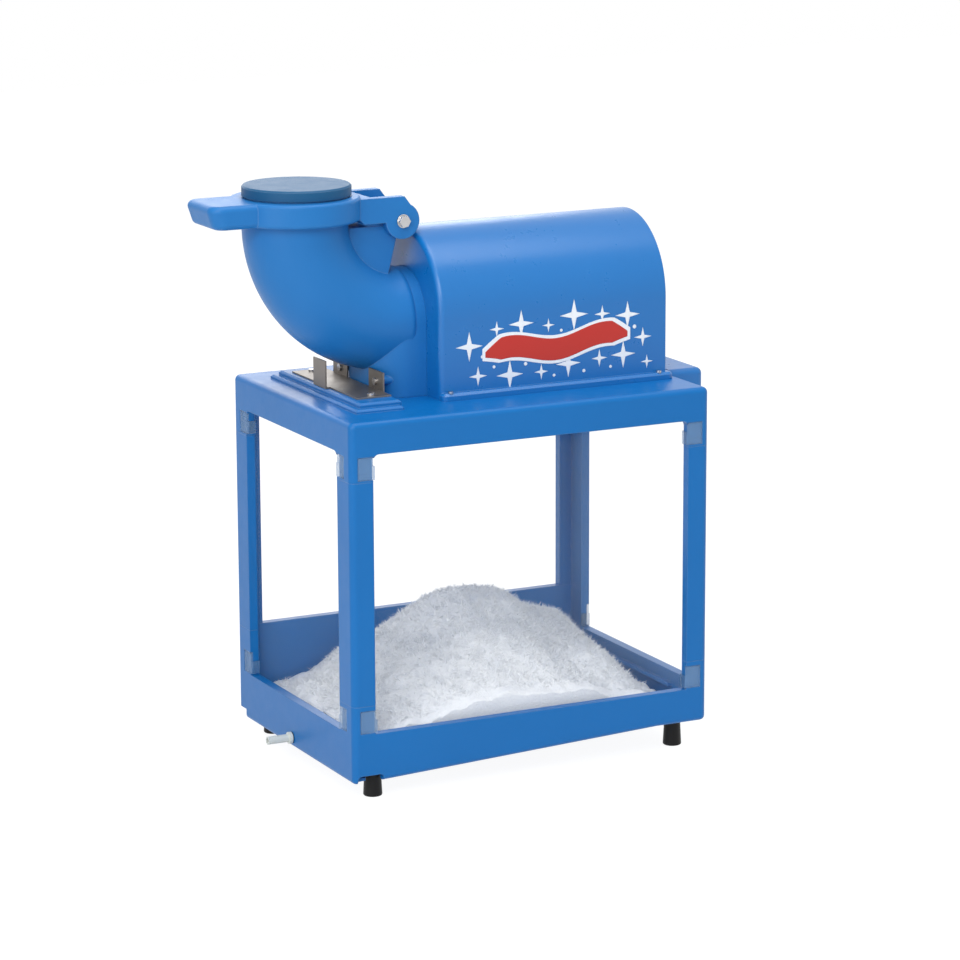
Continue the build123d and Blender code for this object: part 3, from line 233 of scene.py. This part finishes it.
def makeMouldedSkin():
    # a moulded or sprayed skin: slow colour drift, a fine orange peel, handling marks in the roughness and a painted
    # highlight on rounded edges
    group = bpy.data.node_groups.new("mouldedSkin", "ShaderNodeTree")
    addSocket(group, "Color", "INPUT", "NodeSocketColor", (0.1, 0.2, 0.5, 1.0))
    addSocket(group, "Drift", "INPUT", "NodeSocketFloat", 0.05)
    addSocket(group, "Grain Scale", "INPUT", "NodeSocketFloat", 420.0)
    addSocket(group, "Grain Height", "INPUT", "NodeSocketFloat", 0.2)
    addSocket(group, "Roughness", "INPUT", "NodeSocketFloat", 0.4)
    addSocket(group, "Edge Radius", "INPUT", "NodeSocketFloat", 0.0012)
    addSocket(group, "Edge Light", "INPUT", "NodeSocketFloat", 0.12)
    addSocket(group, "Color", "OUTPUT", "NodeSocketColor")
    addSocket(group, "Roughness", "OUTPUT", "NodeSocketFloat")
    addSocket(group, "Normal", "OUTPUT", "NodeSocketVector")
    given = group.nodes.new("NodeGroupInput")
    result = group.nodes.new("NodeGroupOutput")
    place = group.nodes.new("ShaderNodeTexCoord").outputs["Object"]
    slow = noiseNode(group, place, skinPattern["driftScale"], 2.0)
    grain = noiseNode(group, place, given.outputs["Grain Scale"], 2.0, 0.5)
    scuffs = noiseNode(group, place, skinPattern["scuffScale"], 5.0, 0.65)

    # rounded edges catch more light through the bevel normal, and their colour is mixed toward a pale blue-white as a
    # painted highlight
    bevel = group.nodes.new("ShaderNodeBevel")
    bevel.samples = skinPattern["bevelSamples"]
    group.links.new(given.outputs["Edge Radius"], bevel.inputs["Radius"])
    flat = group.nodes.new("ShaderNodeNewGeometry")
    turned = group.nodes.new("ShaderNodeVectorMath")
    turned.operation = "DOT_PRODUCT"
    group.links.new(bevel.outputs[0], turned.inputs[0])
    group.links.new(flat.outputs["Normal"], turned.inputs[1])
    away = mathNode(group, "SUBTRACT", 1.0, turned.outputs["Value"], clamp=True)
    edge = mathNode(group, "MULTIPLY", away, skinPattern["edgeHighlightGain"], clamp=True)
    edgeHighlightShare = mathNode(group, "MULTIPLY", edge, given.outputs["Edge Light"])

    spread = mathNode(group, "MULTIPLY", mathNode(group, "SUBTRACT", slow, 0.5), given.outputs["Drift"])
    bright = group.nodes.new("ShaderNodeHueSaturation")
    group.links.new(given.outputs["Color"], bright.inputs["Color"])
    group.links.new(mathNode(group, "ADD", spread, 1.0), bright.inputs["Value"])
    # painted highlight: the colour is mixed toward pale blue-white along rounded edges
    edgeHighlighted = mixColor(group, edgeHighlightShare, bright.outputs[0], skinPattern["edgeHighlightColor"])
    group.links.new(edgeHighlighted, result.inputs["Color"])

    marks = mathNode(group, "MULTIPLY", mathNode(group, "SUBTRACT", scuffs, 0.5), skinPattern["scuffShare"])
    group.links.new(mathNode(group, "ADD", given.outputs["Roughness"], marks), result.inputs["Roughness"])
    bump = group.nodes.new("ShaderNodeBump")
    bump.inputs["Distance"].default_value = skinPattern["grainDepth"]
    group.links.new(given.outputs["Grain Height"], bump.inputs["Strength"])
    group.links.new(grain, bump.inputs["Height"])
    group.links.new(bevel.outputs[0], bump.inputs["Normal"])
    group.links.new(bump.outputs[0], result.inputs["Normal"])
    return group


metalPattern = {
    "lineStretch": (0.04, 1.0, 1.0),
    "smudgeScale": 40.0,
    "smudgeShare": 0.35,
    "smudgeColor": (0.25, 0.22, 0.2),
    "smudgeRoughness": 0.25,
    "bevelRadius": 0.0005,
    "bevelSamples": 4,
    "lineDistance": 0.0002,
}


def makeBrushedMetal():
    # fine lines drawn along X, with smudges between them
    group = bpy.data.node_groups.new("brushedMetal", "ShaderNodeTree")
    addSocket(group, "Color", "INPUT", "NodeSocketColor", (0.6, 0.6, 0.6, 1.0))
    addSocket(group, "Line Scale", "INPUT", "NodeSocketFloat", 900.0)
    addSocket(group, "Line Depth", "INPUT", "NodeSocketFloat", 0.15)
    addSocket(group, "Roughness", "INPUT", "NodeSocketFloat", 0.3)
    addSocket(group, "Color", "OUTPUT", "NodeSocketColor")
    addSocket(group, "Roughness", "OUTPUT", "NodeSocketFloat")
    addSocket(group, "Normal", "OUTPUT", "NodeSocketVector")
    given = group.nodes.new("NodeGroupInput")
    result = group.nodes.new("NodeGroupOutput")
    place = group.nodes.new("ShaderNodeTexCoord").outputs["Object"]
    stretch = group.nodes.new("ShaderNodeMapping")
    stretch.inputs["Scale"].default_value = metalPattern["lineStretch"]
    group.links.new(place, stretch.inputs["Vector"])
    lines = noiseNode(group, stretch.outputs[0], given.outputs["Line Scale"], 2.0)
    smudge = noiseNode(group, place, metalPattern["smudgeScale"], 4.0, 0.6)
    smudgeShare = mathNode(group, "MULTIPLY", smudge, metalPattern["smudgeShare"])
    darker = mixColor(group, smudgeShare, given.outputs["Color"], metalPattern["smudgeColor"])
    group.links.new(darker, result.inputs["Color"])
    uneven = mathNode(group, "SUBTRACT", smudge, 0.5)
    uneven = mathNode(group, "MULTIPLY", uneven, metalPattern["smudgeRoughness"])
    rough = mathNode(group, "ADD", given.outputs["Roughness"], uneven)
    group.links.new(rough, result.inputs["Roughness"])
    bevel = group.nodes.new("ShaderNodeBevel")
    bevel.samples = metalPattern["bevelSamples"]
    bevel.inputs["Radius"].default_value = metalPattern["bevelRadius"]
    bump = group.nodes.new("ShaderNodeBump")
    bump.inputs["Distance"].default_value = metalPattern["lineDistance"]
    group.links.new(given.outputs["Line Depth"], bump.inputs["Strength"])
    group.links.new(lines, bump.inputs["Height"])
    group.links.new(bevel.outputs[0], bump.inputs["Normal"])
    group.links.new(bump.outputs[0], result.inputs["Normal"])
    return group


mouldedSkin = makeMouldedSkin()
brushedMetal = makeBrushedMetal()
print("stage: shader groups")


# materials
def startMaterial(name):
    material = bpy.data.materials.new(name)
    material.use_nodes = True
    shader = material.node_tree.nodes["Principled BSDF"]
    return material, material.node_tree, shader


def placeGroup(tree, group, values):
    node = tree.nodes.new("ShaderNodeGroup")
    node.node_tree = group
    for name, value in values.items():
        node.inputs[name].default_value = (*value, 1.0) if isinstance(value, tuple) else value
    return node


def skinMaterial(name, color, rough, drift=0.06, grainScale=420.0, grainHeight=0.2, edge=0.0012, edgeLight=0.12,
                 specular=0.5):
    material, tree, shader = startMaterial(name)
    skin = placeGroup(tree, mouldedSkin, {
        "Color": color, "Drift": drift, "Grain Scale": grainScale, "Grain Height": grainHeight,
        "Roughness": rough, "Edge Radius": edge, "Edge Light": edgeLight,
    })
    tree.links.new(skin.outputs["Color"], shader.inputs["Base Color"])
    tree.links.new(skin.outputs["Roughness"], shader.inputs["Roughness"])
    tree.links.new(skin.outputs["Normal"], shader.inputs["Normal"])
    shader.inputs["Specular IOR Level"].default_value = specular
    return material


def metalMaterial(name, color, rough, lineScale=900.0, lineDepth=0.15):
    material, tree, shader = startMaterial(name)
    metal = placeGroup(tree, brushedMetal, {
        "Color": color, "Roughness": rough, "Line Scale": lineScale, "Line Depth": lineDepth,
    })
    tree.links.new(metal.outputs["Color"], shader.inputs["Base Color"])
    tree.links.new(metal.outputs["Roughness"], shader.inputs["Roughness"])
    tree.links.new(metal.outputs["Normal"], shader.inputs["Normal"])
    shader.inputs["Metallic"].default_value = 1.0
    return material


def clearMaterial(name, color, alpha, rough, rippleScale, rippleHeight, specular):
    # clear acrylic, seen by its gloss and its faint tint
    material, tree, shader = startMaterial(name)
    place = tree.nodes.new("ShaderNodeTexCoord").outputs["Object"]
    ripple = noiseNode(tree, place, rippleScale, 3.0)
    bump = tree.nodes.new("ShaderNodeBump")
    bump.inputs["Strength"].default_value = rippleHeight
    bump.inputs["Distance"].default_value = 0.001
    tree.links.new(ripple, bump.inputs["Height"])
    tree.links.new(bump.outputs[0], shader.inputs["Normal"])
    smear = noiseNode(tree, place, 7.0, 3.0)
    tree.links.new(mathNode(tree, "ADD", rough, mathNode(tree, "MULTIPLY", smear, 0.06)), shader.inputs["Roughness"])
    shader.inputs["Base Color"].default_value = (*color, 1.0)
    shader.inputs["Alpha"].default_value = alpha
    shader.inputs["Specular IOR Level"].default_value = specular
    return material


iceSkin = {
    "lumpScale": 28.0,
    "lumpShare": 0.55,
    "sliverScale": 330.0,
    "sliverShare": 0.65,
    "shadeShift": 0.12,
    # painted shade: the grey that the noise mixes into the ice's near white
    "hollowShadeGrey": (0.80, 0.83, 0.88),
    "brightSliver": (0.985, 0.99, 0.99),
    "bumpStrength": 0.8,
    "bumpDistance": 0.002,
    "roughness": 0.7,
    "specular": 0.35,
}


def iceMaterial():
    # packed shavings: milky near white, with painted shade grey mixed in by noise, greyest where the sliver bump is
    # low
    material, tree, shader = startMaterial("shavedIce")
    place = tree.nodes.new("ShaderNodeTexCoord").outputs["Object"]
    lumps = noiseNode(tree, place, iceSkin["lumpScale"], 4.0, 0.6)
    slivers = noiseNode(tree, place, iceSkin["sliverScale"], 3.0, 0.7)
    share = mathNode(tree, "ADD", mathNode(tree, "MULTIPLY", lumps, iceSkin["lumpShare"]),
                     mathNode(tree, "MULTIPLY", slivers, iceSkin["sliverShare"]))
    share = mathNode(tree, "SUBTRACT", share, iceSkin["shadeShift"], clamp=True)
    color = mixColor(tree, share, iceSkin["hollowShadeGrey"], iceSkin["brightSliver"])
    tree.links.new(color, shader.inputs["Base Color"])
    bump = tree.nodes.new("ShaderNodeBump")
    bump.inputs["Strength"].default_value = iceSkin["bumpStrength"]
    bump.inputs["Distance"].default_value = iceSkin["bumpDistance"]
    tree.links.new(slivers, bump.inputs["Height"])
    tree.links.new(bump.outputs[0], shader.inputs["Normal"])
    tree.links.new(mathNode(tree, "MULTIPLY", slivers, iceSkin["roughness"]), shader.inputs["Roughness"])
    shader.inputs["Specular IOR Level"].default_value = iceSkin["specular"]
    return material


cabinetBlue = skinMaterial("cabinetBlue", (0.001, 0.140, 0.430), 0.36, drift=0.10, grainScale=260.0, grainHeight=0.12,
                           edge=0.0018, edgeLight=0.08, specular=0.30)
castBlue = skinMaterial("castBlue", (0.012, 0.160, 0.450), 0.42, drift=0.10, grainScale=330.0, grainHeight=0.32,
                        edge=0.0020, edgeLight=0.12, specular=0.30)
hoodBlue = skinMaterial("hoodBlue", (0.004, 0.150, 0.450), 0.30, drift=0.06, grainScale=700.0, grainHeight=0.16,
                        edge=0.0012, edgeLight=0.10, specular=0.55)
slateCap = skinMaterial("slateCap", (0.006, 0.086, 0.200), 0.50, drift=0.12, grainScale=900.0, grainHeight=0.35,
                        edge=0.0010, edgeLight=0.15, specular=0.30)
blackRubber = skinMaterial("blackRubber", (0.003, 0.003, 0.0035), 0.45, grainScale=800.0, grainHeight=0.2,
                           edge=0.0008, edgeLight=0.03, specular=0.25)
whitePlastic = skinMaterial("whitePlastic", (0.66, 0.69, 0.65), 0.40, grainScale=600.0, grainHeight=0.1,
                            edge=0.0006, edgeLight=0.1)
blackPlastic = skinMaterial("blackPlastic", (0.010, 0.010, 0.011), 0.38, grainScale=900.0, grainHeight=0.2,
                            edge=0.0006, edgeLight=0.08)
motorGrey = skinMaterial("motorGrey", (0.030, 0.033, 0.037), 0.40, grainScale=500.0, grainHeight=0.15)
printWhite = skinMaterial("printWhite", (0.84, 0.87, 0.90), 0.30, drift=0.05, grainScale=900.0, grainHeight=0.05)
printRed = skinMaterial("printRed", (0.52, 0.018, 0.010), 0.32, drift=0.08, grainScale=900.0, grainHeight=0.05)
windingCopper = metalMaterial("windingCopper", (0.62, 0.25, 0.10), 0.35, 500.0, 0.6)
stainless = metalMaterial("stainless", (0.52, 0.49, 0.46), 0.24, 1100.0, 0.12)
# painted shade: a darker, brownish copy of the steel for the bracket under the head's belly
shadedBracketSteel = metalMaterial("shadedBracketSteel", (0.24, 0.22, 0.20), 0.46, 800.0, 0.35)
hardwareSteel = metalMaterial("hardwareSteel", (0.60, 0.60, 0.61), 0.22, 700.0, 0.08)
bareCasting = metalMaterial("bareCasting", (0.55, 0.56, 0.57), 0.42, 300.0, 0.35)
laminations = metalMaterial("laminations", (0.28, 0.28, 0.29), 0.45, 2000.0, 0.5)
clearPanel = clearMaterial("clearPanel", (0.90, 0.95, 0.97), 0.025, 0.02, 6.0, 0.02, 0.22)
clearClip = clearMaterial("clearClip", (0.16, 0.34, 0.60), 0.40, 0.12, 260.0, 0.90, 0.9)
shavedIce = iceMaterial()

finishes = {
    "cabinet_blue": cabinetBlue,
    "clear_acrylic": clearPanel,
    "black_rubber": blackRubber,
    "steel_hardware": hardwareSteel,
    "white_plastic": whitePlastic,
    "shaved_ice": shavedIce,
    "cast_blue": castBlue,
    "grey_casting": bareCasting,
    "stainless_steel": stainless,
    "slate_cap": slateCap,
    "motor_grey": motorGrey,
    "laminated_core": laminations,
    "copper_winding": windingCopper,
    "black_plastic": blackPlastic,
    "hood_blue": hoodBlue,
}


def dressNode(name, material):
    mesh = nodes[name].data
    mesh.materials.clear()
    mesh.materials.append(material)


for part in frame["record"]["subparts"]:
    dressNode(part["node"], finishes[part["material_slot"]])
dressNode("window_clips", clearClip)
# painted shade: the bracket is dressed again in the darker steel copy
dressNode("head_bracket", shadedBracketSteel)
print("stage: materials on every piece")


# helpers that the new pieces share
def takePrimitive(name):
    # the primitive just added, under its own name
    piece = bpy.context.object
    piece.name = name
    piece.data.name = name
    return piece


def thicken(piece, depth):
    # a flat shape pulled up along Z into a closed one
    bpy.ops.object.mode_set(mode="EDIT")
    bpy.ops.mesh.select_all(action="SELECT")
    bpy.ops.mesh.extrude_region_move(TRANSFORM_OT_translate={"value": (0.0, 0.0, depth)})
    bpy.ops.mesh.select_all(action="SELECT")
    bpy.ops.mesh.normals_make_consistent(inside=False)
    bpy.ops.object.mode_set(mode="OBJECT")


def repeatShape(piece, count):
    # the whole shape again and again in one mesh, in the order of its points
    repeat = piece.modifiers.new("repeat", "ARRAY")
    repeat.count = count
    repeat.use_relative_offset = False
    repeat.use_constant_offset = True
    repeat.constant_offset_displace = (4.0, 0.0, 0.0)
    bpy.ops.object.modifier_apply(modifier=repeat.name)


def movePoints(piece, places):
    piece.data.vertices.foreach_set("co", [value for place in places for value in place])
    piece.data.update()


def finishPiece(piece, body, material):
    piece.data.materials.clear()
    piece.data.materials.append(material)
    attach(piece, body)


# shaved ice
ice = {
    "ridge": [(-0.226, 0.070), (-0.186, 0.098), (-0.127, 0.150), (-0.081, 0.182), (-0.040, 0.201), (0.000, 0.206),
              (0.030, 0.203), (0.062, 0.188), (0.094, 0.166), (0.130, 0.150), (0.162, 0.126), (0.190, 0.082),
              (0.226, 0.050)],
    "ridgeSteps": (-0.014, -0.007, 0.0, 0.007, 0.014),
    "wallHeight": 0.062,
    "wallShare": 0.30,
    "crossPower": 1.35,
    "lumpHeight": 0.011,
    "lumpScale": 19.0,
    "crumbHeight": 0.0045,
    "crumbScale": 95.0,
    "cuts": 78,
    "bottomGap": 0.0006,
    "floorSlope": 0.0435,
    "needleInset": 0.011,
    "padHeight": 0.0455,
    "padReachX": 0.040,
    "padReachY": 0.028,
    "needles": 24000,
    "needleLength": (0.0050, 0.0125),
    "needleRadius": (0.0006, 0.0013),
    "needleFlatness": 0.6,
    "needleLift": 0.30,
    "needleRise": 0.7,
    "steepShare": 0.2,
    "steepRise": 0.6,
    "slopeStep": 0.004,
    "seed": 41,
}
trayLow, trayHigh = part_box("base_tray")
iceLow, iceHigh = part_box("shaved_ice_pile")
cabinetMiddle = (trayLow[0] + trayHigh[0]) / 2.0
iceHalfX = (iceHigh[0] - iceLow[0]) / 2.0
iceHalfY = (iceHigh[1] - iceLow[1]) / 2.0


def ridgeHeight(x):
    # the heap's skyline along the cabinet, straight between its points
    ridge = ice["ridge"]
    x = min(max(x, ridge[0][0]), ridge[-1][0])
    for (left, low), (right, high) in zip(ridge, ridge[1:]):
        if x <= right:
            share = (x - left) / (right - left)
            return low + (high - low) * share
    return ridge[-1][1]


def heapHeight(x, y):
    # the ridge with its corners eased, falling to the tray's long walls
    top = sum(ridgeHeight(x + step) for step in ice["ridgeSteps"]) / len(ice["ridgeSteps"])
    wall = ice["wallHeight"] + ice["wallShare"] * (top - ice["wallHeight"])
    across = min(abs(y) / iceHalfY, 1.0) ** ice["crossPower"]
    lumps = noise.noise(Vector((x, y, 0.3)) * ice["lumpScale"]) * ice["lumpHeight"]
    crumbs = noise.noise(Vector((x, y, 1.7)) * ice["crumbScale"]) * ice["crumbHeight"]
    return top + (wall - top) * across + lumps + crumbs


def trayFloor(x, y):
    # the sloping floor under the heap, raised over the left feet
    floor = iceLow[2] + ice["bottomGap"] + (x + iceHalfX) * ice["floorSlope"]
    overPad = x < ice["padReachX"] - iceHalfX and abs(y) > iceHalfY - ice["padReachY"]
    return max(floor, ice["padHeight"]) if overPad else floor


def iceHeap():
    bpy.ops.object.select_all(action="DESELECT")
    bpy.ops.mesh.primitive_cube_add(size=1.0, location=(0.0, 0.0, 0.0))
    heap = takePrimitive("iceHeap")
    bpy.ops.object.mode_set(mode="EDIT")
    bpy.ops.mesh.select_all(action="SELECT")
    bpy.ops.mesh.subdivide(number_cuts=ice["cuts"])
    bpy.ops.object.mode_set(mode="OBJECT")
    for corner in heap.data.vertices:
        x = corner.co.x * 2.0 * iceHalfX
        y = corner.co.y * 2.0 * iceHalfY
        low = trayFloor(x, y)
        corner.co = (cabinetMiddle + x, y, low + (heapHeight(x, y) - low) * (corner.co.z + 0.5))
    bpy.ops.object.shade_smooth()
    finishPiece(heap, "cabinet", shavedIce)
    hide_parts("shaved_ice_pile")


def iceNeedles():
    # slivers lying every way over the heap, some of them on end
    rolls = random.Random(ice["seed"])
    bpy.ops.object.select_all(action="DESELECT")
    bpy.ops.mesh.primitive_cone_add(vertices=3, radius1=1.0, radius2=0.0, depth=1.0, location=(0.0, 0.0, 0.0))
    needles = takePrimitive("iceNeedles")
    shape = [corner.co.copy() for corner in needles.data.vertices]
    repeatShape(needles, ice["needles"])
    step = ice["slopeStep"]
    places = []
    for _ in range(ice["needles"]):
        x = rolls.uniform(ice["needleInset"] - iceHalfX, iceHalfX - ice["needleInset"])
        y = rolls.uniform(ice["needleInset"] - iceHalfY, iceHalfY - ice["needleInset"])
        length = rolls.uniform(*ice["needleLength"])
        radius = rolls.uniform(*ice["needleRadius"])
        z = heapHeight(x, y)
        slope = Vector((heapHeight(x - step, y) - heapHeight(x + step, y),
                        heapHeight(x, y - step) - heapHeight(x, y + step), 2.0 * step)).normalized()
        lie = rolls.uniform(0.0, 2.0 * pi)
        rise = rolls.uniform(0.0, ice["needleRise"])
        rise += ice["steepRise"] if rolls.random() < ice["steepShare"] else 0.0
        flat = Vector((cos(lie), sin(lie), 0.0))
        flat = (flat - slope * flat.dot(slope)).normalized()
        along = (flat * cos(rise) + slope * sin(rise)).normalized()
        side = along.cross(slope).normalized()
        depth = along.cross(side) * radius * ice["needleFlatness"]
        turn = Matrix((side * radius, depth, along * length)).transposed()
        start = Vector((cabinetMiddle + x, y, z)) + along * length * ice["needleLift"]
        places.extend(start + turn @ corner for corner in shape)
    movePoints(needles, places)
    finishPiece(needles, "cabinet", shavedIce)


iceHeap()
iceNeedles()
print("stage: shaved ice")


# print on the motor cover
printing = {
    "film": 0.00018,
    "ribbonLeft": 0.062,
    "ribbonRight": 0.262,
    "ribbonHeight": 0.052,
    "ribbonRise": 0.010,
    "ribbonWave": 0.0060,
    "ribbonWaves": 1.5,
    "ribbonHalfWidth": 0.0140,
    "ribbonBorder": 0.0040,
    "ribbonTip": 0.25,
    "ribbonSwell": 2.2,
    "borderFilms": 1.5,
    "faceFilms": 2.5,
    "lipClear": 0.03,
    "steps": 64,
    "sparkles": [(0.040, 0.064, 0.0187), (0.078, 0.083, 0.0100), (0.112, 0.087, 0.0175), (0.150, 0.082, 0.0088),
                 (0.186, 0.092, 0.0200), (0.226, 0.090, 0.0112), (0.262, 0.086, 0.0175), (0.284, 0.056, 0.0125),
                 (0.052, 0.026, 0.0125), (0.096, 0.024, 0.0187), (0.140, 0.024, 0.0100), (0.178, 0.031, 0.0175),
                 (0.222, 0.034, 0.0112), (0.256, 0.036, 0.0175), (0.290, 0.024, 0.0088)],
    "waist": 0.26,
    "dots": [(0.058, 0.050, 0.0022), (0.094, 0.068, 0.0020), (0.130, 0.070, 0.0026), (0.168, 0.074, 0.0020),
             (0.208, 0.078, 0.0024), (0.244, 0.074, 0.0020), (0.272, 0.070, 0.0026), (0.074, 0.036, 0.0020),
             (0.118, 0.036, 0.0024), (0.200, 0.020, 0.0022), (0.238, 0.022, 0.0020), (0.158, 0.018, 0.0020)],
}
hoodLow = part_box("motor_cover")[0]
hoodFoot = hoodLow[2]
hoodSide = min(corner.co.y for corner in nodes["motor_cover"].data.vertices
               if corner.co.z > hoodFoot + printing["lipClear"])


def onHood(x, z, proud):
    # a place on the cover's front side, from its left end and its foot
    return (hoodLow[0] + x, hoodSide - proud, hoodFoot + z)


def hoodMarks(name, sides, waist, marks, material):
    # one flat mark with points or a round rim, and its copies at their own sizes
    bpy.ops.object.select_all(action="DESELECT")
    bpy.ops.mesh.primitive_circle_add(vertices=sides, radius=1.0, fill_type="NGON", location=(0.0, 0.0, 0.0))
    piece = takePrimitive(name)
    thicken(piece, 1.0)
    shape = []
    for corner in piece.data.vertices:
        reach = 1.0 if min(abs(corner.co.x), abs(corner.co.y)) < 0.1 else waist
        shape.append((corner.co.x * reach, corner.co.y * reach, corner.co.z))
    repeatShape(piece, len(marks))
    movePoints(piece, [onHood(x + size * across, z + size * up, printing["film"] * proud)
                       for x, z, size in marks for across, up, proud in shape])
    finishPiece(piece, "cabinet", material)


def hoodRibbon(name, border, proud, material):
    # a wavy ribbon that narrows to its ends
    bpy.ops.object.select_all(action="DESELECT")
    bpy.ops.mesh.primitive_grid_add(x_subdivisions=printing["steps"], y_subdivisions=1, size=2.0,
                                    location=(0.0, 0.0, 0.0))
    piece = takePrimitive(name)
    thicken(piece, 1.0)
    length = printing["ribbonRight"] - printing["ribbonLeft"] + 2 * border
    places = []
    for corner in piece.data.vertices:
        share = (corner.co.x + 1.0) / 2.0
        x = printing["ribbonLeft"] - border + share * length
        middle = printing["ribbonHeight"] + printing["ribbonRise"] * share
        middle += printing["ribbonWave"] * sin(2.0 * pi * printing["ribbonWaves"] * share)
        swell = min(1.0, printing["ribbonTip"] + printing["ribbonSwell"] * sin(pi * share))
        half = printing["ribbonHalfWidth"] * swell + border
        places.append(onHood(x, middle + half * corner.co.y, proud * corner.co.z))
    movePoints(piece, places)
    finishPiece(piece, "cabinet", material)


hoodMarks("hoodSparkles", 8, printing["waist"], printing["sparkles"], printWhite)
hoodMarks("hoodDots", 16, 1.0, printing["dots"], printWhite)
hoodRibbon("ribbonBorder", printing["ribbonBorder"], printing["film"] * printing["borderFilms"], printWhite)
hoodRibbon("ribbonFace", 0.0, printing["film"] * printing["faceFilms"], printRed)
print("stage: print on the cover")
